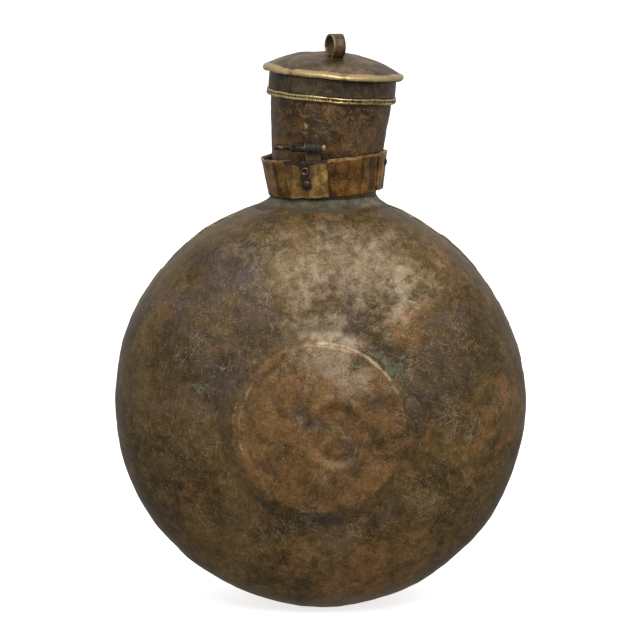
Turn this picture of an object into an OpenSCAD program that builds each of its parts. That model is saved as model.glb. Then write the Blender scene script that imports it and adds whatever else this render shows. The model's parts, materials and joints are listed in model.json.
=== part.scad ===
// Round copper water bottle: two raised half shells joined at the rim, a leaning tapered neck
// with a brass stop ring, a slip-on lid with a strip loop, and a loose collar that carries the
// hinge of a lost hasp. Millimetres, +Z up, front towards -Y, origin under the middle of the rim.

/* [Body] */
// Radius of the round body, seen from the front
body_r = 165; // [120:1:220]
// Depth from the middle plane to where the boss begins to rise
half_depth = 94; // [72:1:130]
// Squareness of the body's section: 2 is an ellipse, more is nearer to a drum
body_power = 3; // [2.6:0.1:3.4]
// Thickness of the hammered copper sheet
wall = 1.2; // [0.9:0.1:1.6]
// Radius of the raised boss
boss_r = 68; // [40:1:80]
// Width of the slope around the boss
boss_slope = 16; // [8:1:20]
// Height of the slope around the boss
boss_rise = 6; // [3:0.5:9]
// Height of the boss's own low dome
boss_crown = 4.5; // [2:0.5:8]
// Width of the lap where the two shells overlap
seam_lap = 8; // [5:1:12]
// Width of the brazed line beside the lap
braze_w = 1.6; // [1:0.1:2.5]

/* [Neck] */
// Lean of the neck towards the right, degrees
neck_lean = 4.5; // [0:0.5:6]
// Distance of the neck's foot to the right of the middle
neck_shift = 2.8; // [0:0.2:6]
// Outer radius of the neck where it meets the body
neck_r = 41.2; // [34:0.2:50]
// Half angle of the neck's taper, degrees
neck_taper = 5; // [3:0.5:7]
// Height of the neck from the body to the stop ring
neck_h = 79; // [62:1:96]
// Thickness of the neck's sheet
neck_wall = 1.3; // [1:0.1:1.8]
// Depth of the neck's end inside the body
neck_sink = 12; // [10:1:18]
// Width of the brazed seam down the back of the neck
neck_seam_w = 4; // [3:0.5:6]
// Height of the brazed seam above the neck's surface
neck_seam_proud = 0.25; // [0.1:0.05:0.5]
// Reach of the solder round the neck's foot, outwards
solder_reach = 11; // [8:1:14]
// Height of the solder round the neck's foot
solder_h = 3; // [2:0.5:6]

/* [Stop ring] */
// Height of the brass ring
ring_h = 5; // [4:0.5:7]
// Distance that the ring stands out from the mouth
ring_out = 2.5; // [2:0.1:3.5]
// Height of the neck's mouth above the ring
mouth_h = 11; // [8:1:14]

/* [Lid] */
// Gap between the mouth and the lid's skirt, all round
lid_gap = 0.3; // [0.2:0.05:0.5]
// Thickness of the lid's sheet
lid_wall = 1; // [0.8:0.1:1.3]
// Height of the skirt from its lower edge to the middle of the rolled rim
skirt_h = 15.6; // [13:0.2:18]
// Gap between the stop ring and the resting skirt
rest_gap = 0.3; // [0.2:0.05:0.5]
// Radius of the rolled rim's section
roll_r = 2.7; // [2.2:0.1:3.4]
// Height of the dome above the top of the rolled rim
dome_h = 13.4; // [8:0.2:18]
// Width of the skirt's open seam
skirt_seam_w = 0.5; // [0.3:0.1:0.8]
// Place of the skirt's seam, degrees to the left of the front
skirt_seam_at = 40; // [0:5:90]

/* [Lid loop] */
// Outer radius of the loop
loop_r = 9.9; // [8:0.1:12]
// Thickness of the loop's strip
loop_wall = 1.3; // [1:0.1:1.6]
// Width of the loop's strip
loop_w = 9.8; // [8:0.2:12]
// Distance of the loop in front of the lid's middle
loop_ahead = 22; // [10:1:26]
// Turn of the loop's eye towards the front, degrees
loop_turn = 22; // [0:1:45]
// Opening angle at the loop's foot, degrees
loop_open = 54; // [46:2:64]
// Length of each foot bent out below the lid
loop_foot = 7; // [5:0.5:9]

/* [Collar] */
// Lean of the collar towards the left, degrees
collar_lean = 3.5; // [0:0.5:5]
// Distance of the collar's foot to the right of the middle
collar_shift = 4.4; // [4:0.2:5.2]
// Height of the collar's foot above the top of the body
collar_lift = 4.6; // [4.4:0.2:7]
// Height of the collar's strip
collar_h = 30; // [24:1:36]
// Play between the neck's foot and the collar's lower edge
collar_play = 2.6; // [2.4:0.2:3.8]
// Outward slope of the collar's side, in degrees
collar_taper = 9.5; // [8.8:0.1:12]
// Thickness of the collar's strip
collar_wall = 1.2; // [0.9:0.1:1.5]
// Angle over which the ends of the strip overlap
lap_angle = 34; // [24:2:44]
// Place where the lap ends, degrees to the right of the front
lap_at = 62; // [50:2:70]

/* [Hinge] */
// Place of the hinge plate's middle, degrees to the left of the front
plate_at = 17; // [10:0.5:26]
// Width of the hinge plate, as an angle round the collar
plate_angle = 40.5; // [34:0.5:46]
// Height of the hinge plate
plate_h = 28.4; // [22:0.2:30]
// Thickness of the hinge plate
plate_wall = 1.2; // [0.9:0.1:1.5]
// Direction that the hinge faces, degrees to the left of the front
hinge_at = 12; // [8:0.5:16]
// Turn of the hinge against the leaning collar, which brings the pin almost level
hinge_level = 3; // [0:0.5:4]
// Radius of the hinge pin
pin_r = 2.3; // [2:0.1:2.6]
// Radius of the pin's bare end, worn thin by the knuckle that is lost
pin_end_r = 1.9; // [1.6:0.1:2]
// Gap round the pin inside the loose knuckle
pin_gap = 0.08; // [0.05:0.01:0.1]
// Thickness of the knuckles' wall
knuckle_wall = 1.1; // [0.9:0.1:1.4]
// Height of the pin above the collar's upper edge
pin_lift = 10.6; // [9:0.2:13]
// Width of the plate's knuckle
knuckle_w = 11.6; // [9:0.2:14]
// Width of the loose knuckle that is left of the hasp
stub_w = 10.2; // [8:0.2:13]
// Gap between the two knuckles
knuckle_gap = 0.5; // [0.4:0.1:1]
// Distance of the plate's knuckle to the right of the hinge's middle
knuckle_shift = 1.4; // [-2:0.2:4]
// Length of the torn strip below the loose knuckle
torn_l = 3.6; // [2:0.2:4.5]
// Length of pin that stands out on the left
pin_out = 13.6; // [8:0.2:16]
// Length of pin that stands out on the right, with its hammered end
pin_tail = 5; // [3:0.2:7]

/* [Rivets] */
// Radius of the rivets' shanks
rivet_r = 1.7; // [1.4:0.1:2.2]
// Radius of the domed heads
rivet_head_r = 3.4; // [2.8:0.1:4]
// Height of the domed heads
rivet_head_h = 1.5; // [1:0.1:2]
// Height of the hammered tails inside the collar
rivet_tail_h = 0.3; // [0.2:0.05:0.4]

/* [Hidden] */
$fn = 96;

curve_steps = 22;
slope_steps = 6;
crown_steps = 5;
arc_steps = 9;
far = 400;

body_top = 2 * body_r;
hole_gap = 0.3;
lap_fit = 0.1;

neck_slope = tan(neck_taper);
ring_hi = neck_h + ring_h;
mouth_step = 1.2;
mouth_r = neck_r + neck_h * neck_slope + mouth_step;
mouth_top = ring_hi + mouth_h;
hole_r = neck_r + solder_h * neck_slope + hole_gap;
ring_r = mouth_r + ring_out;

skirt_in = mouth_r + lid_gap;
skirt_out = skirt_in + lid_wall;
skirt_lo = ring_hi + rest_gap;
roll_s = skirt_lo + skirt_h;
roll_gap = 0.05;
roll_c = skirt_out + roll_gap + roll_r;
wire_gap = 0.05;
dome_s = roll_s + roll_r;
dome_r = (pow(roll_c, 2) + pow(dome_h, 2)) / (2 * dome_h);
dome_c = dome_s + dome_h - dome_r;
roll_end = -160;

loop_tilt = asin(loop_ahead / dome_r);
loop_in = loop_r - loop_wall;
loop_mid = loop_r - loop_wall / 2;
loop_c = loop_mid * cos(loop_open / 2) + lid_wall * 0.2;
loop_half = loop_mid * sin(loop_open / 2);
leg_w = loop_w - 0.6;
slot_gap = 0.4;
slot_w = loop_w + 2 * slot_gap;
slot_l = 2 * loop_half + loop_wall + 2 * slot_gap;
foot_gap = 0.1;
foot_drop = (pow(loop_half + loop_foot, 2) + pow(loop_w / 2, 2)) / (2 * (dome_r - lid_wall));
foot_top = -lid_wall - foot_gap - foot_drop;

collar_r = neck_r + collar_play + collar_wall;
collar_slope = tan(collar_taper);
collar_flare = collar_h * collar_slope;
lap_bite = 0.3;
lap_wall = collar_wall * cos(collar_taper);
plate_gap = 0.05;
plate_foot = 0.6;
knuckle_r = pin_r + pin_gap + knuckle_wall;
pin_h = collar_h + pin_lift;
tab_gap = 0.1;
tab_back = collar_r + collar_flare + tab_gap;
pin_at = tab_back + knuckle_r;
plate_knuckle_x = knuckle_shift;
stub_x = plate_knuckle_x - knuckle_w / 2 - knuckle_gap - stub_w / 2;
pin_left = stub_x - stub_w / 2 - pin_out;
pin_shoulder = stub_x - stub_w / 2 - 0.4;
pin_right = plate_knuckle_x + knuckle_w / 2 + pin_tail;
peen_r = pin_r + 0.6;
peen_l = 2.6;
pin_chamfer = 0.5;
torn_w = 0.34 * stub_w;

rivet_h = [plate_h * 0.4, plate_h * 0.78];
collar_rivet_h = collar_h * 0.72;
collar_rivet_at = lap_at + lap_angle / 2;
// The flat sides of head and tail clear the round collar by these at their middle
head_gap = 0.05;
tail_gap = 0.15;
rivet_fit = 0.05;
rivet_tail_r = rivet_r + 0.8;

// Section of the body without its boss: distance from the middle plane at radius r
function section_y(r, rr, dd) = dd * pow(max(0, 1 - pow(r / rr, body_power)), 1 / body_power);

// The same with the slope and the low dome of the boss; rr and dd shrink for the inner face
function boss_y(r, rr, dd) = r > boss_r
    ? section_y(r, rr, dd) + boss_rise * smooth((boss_r + boss_slope - r) / boss_slope)
    : section_y(boss_r, rr, dd) + boss_rise + boss_crown * (1 - pow(r / boss_r, 2));

function smooth(t) = let (u = min(1, max(0, t))) u * u * (3 - 2 * u);

// Angle on the rounded section at which the slope of the boss begins
function slope_start(rr) = acos(pow((boss_r + boss_slope) / rr, body_power / 2));

// Face of one shell, from its centre out to the rim, as [radius, distance] points
function shell_face(rr, dd) = concat(
    [for (i = [0:crown_steps - 1]) let (r = boss_r * i / crown_steps) [r, boss_y(r, rr, dd)]],
    [for (i = [0:slope_steps - 1]) let (r = boss_r + boss_slope * i / slope_steps) [r, boss_y(r, rr, dd)]],
    [for (i = [curve_steps:-1:0]) let (t = slope_start(rr) * i / curve_steps)
        [rr * pow(cos(t), 2 / body_power), dd * pow(sin(t), 2 / body_power)]]);

function reversed(list) = [for (i = [len(list) - 1:-1:0]) list[i]];

// Points on an arc about c, from angle a to angle b
function arc(c, r, a, b, steps = arc_steps) =
    [for (i = [0:steps]) let (t = a + (b - a) * i / steps) [c[0] + r * cos(t), c[1] + r * sin(t)]];

function neck_at(s) = neck_r + s * neck_slope;
function dome_top(r) = dome_c + sqrt(pow(dome_r, 2) - pow(r, 2));
function dome_under(r) = dome_c + sqrt(pow(dome_r - lid_wall, 2) - pow(r, 2));
function collar_at(h) = collar_r + collar_slope * h;

// Puts a shape drawn about Z onto the body's own axis, its +Z side to the front
module on_body_axis() {
    translate([0, 0, body_r]) rotate([90, 0, 0]) children();
}

module on_neck() {
    translate([neck_shift, 0, body_top]) rotate([0, neck_lean, 0]) children();
}

module on_collar() {
    translate([collar_shift, 0, body_top + collar_lift]) rotate([0, -collar_lean, 0]) children();
}

// On the collar, degrees to the right of the front: +X is then radial
module on_collar_at(angle) {
    on_collar() rotate([0, 0, angle - 90]) children();
}

// On the collar's outer face, at an angle and a height: +X is then square to the sloping strip
module on_strip(angle, h) {
    on_collar_at(angle) translate([collar_at(h), 0, h]) rotate([0, collar_taper, 0]) children();
}

// On the hinge: +X runs to the right along the pin, -Y points away from the bottle
module on_hinge() {
    on_collar() rotate([0, 0, -hinge_at]) rotate([0, hinge_level, 0]) children();
}

module neck_hole() {
    on_neck() translate([0, 0, -3 * neck_sink]) cylinder(r = hole_r, h = far);
}

// The loop stands square to the dome, its eye along local X
module on_loop() {
    on_neck() translate([0, 0, dome_c]) rotate([loop_tilt, 0, 0]) translate([0, 0, dome_r])
        rotate([0, 0, loop_turn]) children();
}

module front_shell() {
    outer = shell_face(body_r, half_depth);
    inner = shell_face(body_r - wall, half_depth - wall);
    edge = [[body_r, -seam_lap / 2], [body_r - wall, -seam_lap / 2]];
    color("peru") difference() {
        on_body_axis() rotate_extrude() polygon(concat(outer, edge, reversed(inner)));
        neck_hole();
    }
}

module back_shell() {
    lap_r = body_r - wall - lap_fit;
    lap_y = seam_lap / 2 + braze_w;
    lap_end = -seam_lap / 2 + lap_fit;
    outer = [for (p = shell_face(body_r, half_depth)) if (p[1] > lap_y) p];
    inner = [for (p = shell_face(body_r - wall, half_depth - wall)) if (p[1] > lap_y + 4 * wall) p];
    edge = [[body_r, lap_y], [lap_r, lap_y], [lap_r, lap_end], [lap_r - wall, lap_end],
        [lap_r - wall, lap_y + 2 * wall], [body_r - wall, lap_y + 4 * wall]];
    color("sienna") difference() {
        on_body_axis() mirror([0, 0, 1]) rotate_extrude() polygon(concat(outer, edge, reversed(inner)));
        neck_hole();
    }
}

module rim_braze() {
    color("goldenrod") difference() {
        on_body_axis() translate([0, 0, -seam_lap / 2 - braze_w]) difference() {
            cylinder(r = body_r, h = braze_w);
            translate([0, 0, -1]) cylinder(r = body_r - wall, h = braze_w + 2);
        }
        neck_hole();
    }
}

// Slot down the back of the neck, which the brazed seam fills
module seam_slot() {
    translate([-neck_seam_w / 2, 0, -neck_sink - 1]) cube([neck_seam_w, far, neck_sink + neck_h + 1]);
}

module neck_tube() {
    outer = [[neck_at(-neck_sink), -neck_sink], [neck_at(neck_h), neck_h],
        [mouth_r, ring_hi], [mouth_r, mouth_top]];
    inner = [for (p = outer) [p[0] - neck_wall, p[1]]];
    color("saddlebrown") on_neck() difference() {
        rotate_extrude() polygon(concat(outer, reversed(inner)));
        seam_slot();
    }
}

module neck_seam() {
    low = neck_at(-neck_sink);
    high = neck_at(neck_h);
    color("goldenrod") on_neck() intersection() {
        rotate_extrude() polygon([[low - neck_wall, -neck_sink], [low + neck_seam_proud, -neck_sink],
            [high + neck_seam_proud, neck_h], [high - neck_wall, neck_h]]);
        seam_slot();
    }
}

// Concave ring of solder between the neck and the body, cut to both; finer, because it is thin
module neck_solder() {
    $fn = 240;
    toe_r = neck_r + solder_reach;
    toe_sink = 2.5;
    toe_z = -(body_r - sqrt(pow(body_r, 2) - pow(toe_r, 2))) - toe_sink;
    foot_r = neck_r - solder_reach / 2;
    rise = solder_h - toe_z;
    reach = solder_reach - solder_h * neck_slope;
    curve = [for (i = [0:arc_steps]) let (t = 90 * i / arc_steps)
        [toe_r - reach * sin(t), toe_z + rise * (1 - cos(t))]];
    near = [for (p = shell_face(body_r, half_depth)) if (p[1] < toe_r + solder_reach) p];
    color("darkkhaki") difference() {
        translate([neck_shift, 0, body_top]) rotate_extrude()
            polygon(concat([[toe_r, toe_z - toe_sink]], curve, [[foot_r, solder_h], [foot_r, toe_z - toe_sink]]));
        on_body_axis() rotate_extrude() polygon(concat([[0, near[0][1]]], near,
            [for (p = reversed(near)) if (p[1] > 0) [p[0], -p[1]]], [[0, -near[0][1]]]));
        on_neck() translate([0, 0, -2 * neck_sink])
            cylinder(r1 = neck_at(-2 * neck_sink), r2 = neck_at(neck_sink), h = 3 * neck_sink);
        neck_seam();
    }
}

// Two round beads with a groove between them
module stop_ring() {
    bead = ring_h / 4;
    color("gold") on_neck() rotate_extrude() polygon(concat(
        [[neck_at(neck_h), neck_h]],
        arc([ring_r - bead, neck_h + bead], bead, -90, 80),
        arc([ring_r - bead, ring_hi - bead], bead, -80, 90),
        [[mouth_r, ring_hi]]));
}

module lid_dome() {
    half = asin(roll_c / dome_r);
    under = asin(roll_c / (dome_r - lid_wall));
    color("dimgray") difference() {
        on_neck() rotate_extrude() polygon(concat(
            arc([0, dome_c], dome_r, 90, 90 - half),
            arc([roll_c, roll_s], roll_r, 72, roll_end, 2 * arc_steps),
            arc([roll_c, roll_s], roll_r - lid_wall, roll_end, 110, 2 * arc_steps),
            arc([0, dome_c], dome_r - lid_wall, 90 - under * 0.97, 90)));
        on_loop() translate([0, 0, -lid_wall / 2]) cube([slot_w, slot_l, 6 * lid_wall], center = true);
    }
}

module lid_rim_wire() {
    color("goldenrod") on_neck() translate([0, 0, roll_s]) rotate_extrude()
        translate([roll_c, 0]) circle(r = roll_r - lid_wall - wire_gap);
}

module lid_skirt() {
    top = dome_under(skirt_out) - roll_gap;
    color("dimgray") on_neck() difference() {
        translate([0, 0, skirt_lo]) cylinder(r = skirt_out, h = top - skirt_lo);
        translate([0, 0, skirt_lo - 1]) cylinder(r = skirt_in, h = top - skirt_lo + 2);
        rotate([0, 0, -90 - skirt_seam_at]) translate([0, -skirt_seam_w / 2, skirt_lo - 1])
            cube([far, skirt_seam_w, top - skirt_lo + 2]);
    }
}

module lid_solder() {
    leg = 2.6;
    inner = skirt_in - leg;
    top = dome_under(skirt_out) - roll_gap;
    color("darkkhaki") on_neck() rotate_extrude()
        polygon([[skirt_in, top - leg], [skirt_in, top], [inner, dome_under(inner) - roll_gap]]);
}

// Strip bent to a ring, its two ends through the lid and bent outwards under it
module lid_loop() {
    color("darkslategray") on_loop() {
        translate([0, 0, loop_c]) rotate([0, 90, 0]) rotate([0, 0, loop_open / 2])
            rotate_extrude(angle = 360 - loop_open) translate([loop_in, -loop_w / 2])
                square([loop_wall, loop_w]);
        for (side = [-1, 1]) translate([0, side * loop_half, 0]) {
            translate([-leg_w / 2, -loop_wall / 2, foot_top - loop_wall])
                cube([leg_w, loop_wall, loop_wall - foot_top + 0.5]);
            translate([-leg_w / 2, side * (loop_foot - loop_wall) / 2 - loop_foot / 2, foot_top - loop_wall])
                cube([leg_w, loop_foot, loop_wall]);
        }
    }
}

// Hole through the collar for a rivet, at an angle to the right of the front and a height
module rivet_hole(angle, h) {
    on_strip(angle, h) rotate([0, 90, 0]) cylinder(r = rivet_r + rivet_fit, h = 12, center = true);
}

// Slanted section of a strip, between two distances from the collar's outer face and two heights
module collar_section(from, to, low, high) {
    polygon([[collar_at(low) + from, low], [collar_at(low) + to, low],
        [collar_at(high) + to, high], [collar_at(high) + from, high]]);
}

module collar_band() {
    color("darkgoldenrod") difference() {
        on_collar() {
            rotate_extrude() collar_section(-collar_wall, 0, 0, collar_h);
            rotate([0, 0, lap_at - 90]) rotate_extrude(angle = lap_angle)
                collar_section(-lap_bite, collar_wall, 0, collar_h);
        }
        for (h = rivet_h) rivet_hole(-plate_at, h);
        rivet_hole(collar_rivet_at, collar_rivet_h);
    }
}

// Rivet along local +X: base is where the head sits, grip is the thickness it holds
module rivet(base, grip) {
    dome = (pow(rivet_head_r, 2) + pow(rivet_head_h, 2)) / (2 * rivet_head_h);
    rotate([0, 90, 0]) {
        translate([0, 0, base - grip - rivet_tail_h]) cylinder(r = rivet_r, h = grip + rivet_tail_h + 0.2);
        translate([0, 0, base - grip - rivet_tail_h]) cylinder(r = rivet_tail_r, h = rivet_tail_h);
        translate([0, 0, base]) intersection() {
            cylinder(r = rivet_head_r, h = rivet_head_h + 1);
            translate([0, 0, rivet_head_h - dome]) sphere(r = dome);
        }
    }
}

module collar_rivet() {
    color("saddlebrown") on_strip(collar_rivet_at, collar_rivet_h)
        rivet(lap_wall + head_gap, collar_wall + lap_wall + head_gap + tail_gap);
}

module hinge_rivets() {
    held = (plate_gap + plate_wall) * cos(collar_taper) + head_gap;
    color("saddlebrown") for (h = rivet_h) on_strip(-plate_at, h)
        rivet(held, held + collar_wall * cos(collar_taper) + tail_gap);
}

// Tube about the pin, in the plate's frame, centred on x
module knuckle(x, w, bore) {
    translate([x - w / 2, -pin_at, pin_h]) rotate([0, 90, 0]) difference() {
        cylinder(r = knuckle_r, h = w);
        translate([0, 0, -1]) cylinder(r = bore, h = w + 2);
    }
}

module hinge_plate() {
    color("goldenrod") difference() {
        union() {
            on_collar() rotate([0, 0, -plate_at - 90 - plate_angle / 2]) rotate_extrude(angle = plate_angle)
                collar_section(plate_gap, plate_gap + plate_wall, plate_foot, plate_h);
            on_hinge() difference() {
                union() {
                    knuckle(plate_knuckle_x, knuckle_w, pin_r);
                    translate([plate_knuckle_x - knuckle_w / 2, -tab_back - plate_wall, plate_h - 2])
                        cube([knuckle_w, plate_wall, pin_h - plate_h + 2]);
                }
                translate([plate_knuckle_x - knuckle_w / 2 - 1, -pin_at, pin_h]) rotate([0, 90, 0])
                    cylinder(r = pin_r, h = knuckle_w + 2);
            }
        }
        for (h = rivet_h) rivet_hole(-plate_at, h);
    }
}

module hinge_pin() {
    bare = pin_left + pin_chamfer;
    color("chocolate") on_hinge() translate([0, -pin_at, pin_h]) rotate([0, 90, 0]) {
        translate([0, 0, pin_left]) cylinder(r1 = pin_end_r - pin_chamfer, r2 = pin_end_r, h = pin_chamfer);
        translate([0, 0, bare]) cylinder(r = pin_end_r, h = pin_shoulder - bare + pin_chamfer);
        translate([0, 0, pin_shoulder]) cylinder(r = pin_r, h = pin_right - pin_shoulder);
        translate([0, 0, pin_right - peen_l]) cylinder(r1 = pin_r, r2 = peen_r, h = peen_l);
    }
}

// All that is left of the hasp: its knuckle, with a torn strip hanging from the left side
module hasp_knuckle() {
    bore = pin_r + pin_gap;
    strip_y = -pin_at - knuckle_wall / 2;
    color("slategray") on_hinge() difference() {
        union() {
            knuckle(stub_x, stub_w, bore);
            translate([stub_x - stub_w / 2, strip_y, pin_h - knuckle_r - torn_l])
                cube([torn_w, knuckle_wall, knuckle_r + torn_l]);
            translate([stub_x - stub_w / 2, strip_y, pin_h - knuckle_r - torn_l * 0.25])
                cube([stub_w, knuckle_wall, knuckle_r]);
        }
        translate([stub_x, -pin_at, pin_h]) rotate([0, 90, 0])
            cylinder(r = bore, h = stub_w + 2, center = true);
    }
}

front_shell();
back_shell();
rim_braze();
neck_tube();
neck_seam();
neck_solder();
stop_ring();
lid_dome();
lid_rim_wire();
lid_skirt();
lid_solder();
lid_loop();
collar_band();
collar_rivet();
hinge_plate();
hinge_rivets();
hinge_pin();
hasp_knuckle();
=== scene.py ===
import json
import math

import bpy
import numpy as np
from mathutils import Matrix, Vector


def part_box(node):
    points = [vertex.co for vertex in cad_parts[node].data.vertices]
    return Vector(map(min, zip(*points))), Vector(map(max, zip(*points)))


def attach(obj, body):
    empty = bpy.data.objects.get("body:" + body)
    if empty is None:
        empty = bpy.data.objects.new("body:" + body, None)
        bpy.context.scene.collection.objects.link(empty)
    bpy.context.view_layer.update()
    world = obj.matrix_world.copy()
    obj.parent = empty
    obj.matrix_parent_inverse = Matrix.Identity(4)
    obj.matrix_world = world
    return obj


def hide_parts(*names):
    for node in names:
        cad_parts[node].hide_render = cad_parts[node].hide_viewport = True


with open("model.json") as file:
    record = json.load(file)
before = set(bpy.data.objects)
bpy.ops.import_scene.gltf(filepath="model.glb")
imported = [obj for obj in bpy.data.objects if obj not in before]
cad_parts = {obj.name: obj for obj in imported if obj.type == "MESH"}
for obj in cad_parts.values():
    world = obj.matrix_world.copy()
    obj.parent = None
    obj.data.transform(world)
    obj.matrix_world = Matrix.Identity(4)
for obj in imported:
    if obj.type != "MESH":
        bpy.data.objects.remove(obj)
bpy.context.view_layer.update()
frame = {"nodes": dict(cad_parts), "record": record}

mm = 0.001

# ---------------------------------------------------------------------------
# THE BODY
# Two round copper bowls, beaten out of sheet and brazed together at the rim.
# Each has a low boss raised in its middle; years of use have dented them and
# left brown, coppery, grey and pale patches, with a little verdigris. The pale
# patches on the upper half are partly painted highlight, and a dark ring round
# the boss's foot is painted shade.

rim_low, rim_high = (np.array(c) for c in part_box("front_shell"))
rim_r = (rim_high[0] - rim_low[0]) / 2
middle = np.array([(rim_high[0] + rim_low[0]) / 2, 0.0, rim_low[2] + rim_r])
half_depth = 94 * mm
sheet = 1.2 * mm
boss_rise = 6 * mm
boss_crown = 3.2 * mm
boss_slope = 12.5 * mm
# Where the front bowl's lap ends and the back bowl begins, behind the middle plane. The open slit
# between them is 1.4 mm wide.
front_lap = 4 * mm
bowl_gap = 5.4 * mm


def waves(points, size, seed, count=30):
    """Uneven relief of about -1 to 1: the sum of sine waves that run in random directions through
    the points, each with a wavelength between 0.6 and 1.7 times size."""
    rng = np.random.default_rng(seed)
    along = rng.normal(size=(count, points.shape[-1]))
    along /= np.linalg.norm(along, axis=1, keepdims=True)
    along *= 2 * np.pi / (size * rng.uniform(0.6, 1.7, (count, 1)))
    return np.sin(points @ along.T + rng.uniform(0, 2 * np.pi, count)).sum(-1) * (1.3 / math.sqrt(count))


def smooth(t):
    """3t^2 - 2t^3 between 0 and 1, held flat outside."""
    t = np.clip(t, 0, 1)
    return t * t * (3 - 2 * t)


def bell(distance, width):
    """exp(-(distance / width)^2): 1 at the middle, fading over the width."""
    return np.exp(-(distance / width) ** 2)


def window(angle, centre, half):
    """1 within half of an angle about the centre, in degrees, fading to 0 over another half."""
    off = np.abs((np.degrees(angle) - centre + 180) % 360 - 180)
    return smooth((1.8 * half - off) / (0.8 * half))


def spot_at(x, z, right, up, width):
    """A bell of the distance from one place on the face; place and width are in millimetres."""
    return bell(np.hypot(x - right * mm, z - up * mm), width * mm)


def out_of_round(angle):
    """Rim's departure from a circle: a few slow waves round it, in millimetres."""
    return mm * (0.8 * np.cos(angle - 1.3) + 0.8 * np.cos(2 * angle + 2.3) + 0.3 * np.cos(3 * angle + 2.2)
                 + 0.3 * np.cos(4 * angle + 0.4) + 0.55 * np.cos(5 * angle - 0.3) + 0.2 * np.cos(9 * angle))


def bowl_face(x, z, front):
    """Distance of a bowl's face from the middle plane at (x, z) from the middle: the half depth
    times the cube root of 1 - (r / rim)^3, plus the boss, whose side rises as a power of the way
    up its slope, with the lips, folds and dimple that hammering has left on it."""
    r = np.hypot(x, z)
    depth = half_depth * np.cbrt(np.clip(1 - (r / rim_r) ** 3, 0, 1))
    bx, bz = (x + 0.5 * mm, z + 4 * mm) if front else (x - 2 * mm, z + 1 * mm)
    rb = np.hypot(bx, bz)
    a = np.arctan2(bz, bx)
    edge = mm * (66.2 + 0.9 * np.cos(2 * a + 0.6) + 0.7 * np.cos(3 * a - 1.1) + 0.35 * np.cos(7 * a))
    sharp = 1.25 + 0.5 * window(a, 60, 45)
    depth += boss_rise * np.clip((edge + boss_slope - rb) / boss_slope, 0, 1) ** sharp
    depth += boss_crown * np.clip(1 - (rb / edge) ** 2, 0, 1)
    if front:
        left = window(a, 172, 34)
        depth -= 0.9 * mm * left * bell(rb - 57 * mm, 2.6 * mm)
        depth += 0.7 * mm * left * bell(rb - 63 * mm, 3.0 * mm)
        depth -= 0.8 * mm * window(a, 214, 16) * bell(rb - 53 * mm, 1.8 * mm)
        dx, dz = x - 11 * mm, z + 9 * mm
        rd = np.hypot(dx, dz * 0.95) + 1.2 * mm * np.cos(3 * np.arctan2(dz, dx))
        depth -= 2.6 * mm * smooth((25 * mm - rd) / (8 * mm))
        depth += 0.6 * mm * bell(rd - 26 * mm, 3 * mm)
        depth += 1.2 * mm * bell(np.hypot(dx - 3 * mm, dz + 8 * mm) - 7 * mm, 3 * mm) * smooth(0.5
            - dz / (16 * mm))
        depth += 0.5 * mm * bell(np.hypot(x - 62 * mm, z - 97 * mm) - 9 * mm, 3 * mm)
        dents = ((0.7, -13, 6, 5), (1.1, 62, 97, 6.5), (0.9, -79, 44, 9), (0.8, 112, -30, 14))
    else:
        dents = ((1.6, 40, 84, 15), (1.1, -18, -10, 18), (1.3, -90, -62, 12))
    for deep, right, up, width in dents:
        depth -= deep * mm * spot_at(x, z, right, up, width)
    return depth


# Where the neck stands: its foot on the body's top, and the axis that it leans along
joints = {j["name"]: j for j in frame["record"]["behaviour"]["joints"]}
mounts = {m["name"]: m for m in frame["record"]["mounts"]}


def frame_at(point, up, right=(1, 0, 0)):
    """4 by 4 matrix of a place: its Z along up, and its X as near to right as that allows."""
    z = np.array(up, float) / np.linalg.norm(up)
    x = np.array(right, float) - np.dot(right, z) * z
    x /= np.linalg.norm(x)
    m = np.eye(4)
    m[:3, 0], m[:3, 1], m[:3, 2], m[:3, 3] = x, np.cross(z, x), z, point
    return m


def put(m, points):
    """Points of a place's own frame, turned and moved into the model's."""
    return points @ m[:3, :3].T + m[:3, 3]


neck_axis = np.array(joints["lid_lift"]["axis"])
mouth = np.array(mounts["mouth"]["pos_m"])
neck_foot = mouth + neck_axis * ((2 * rim_r - mouth[2]) / neck_axis[2])
neck = frame_at(neck_foot, neck_axis)
neck_r = 41.2 * mm
neck_slope = math.tan(math.radians(5))


def off_axis(points, m):
    """Distance of points from a frame's Z axis."""
    local = (points - m[:3, 3]) @ m[:3, :3]
    return np.hypot(local[..., 0], local[..., 1])


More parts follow.
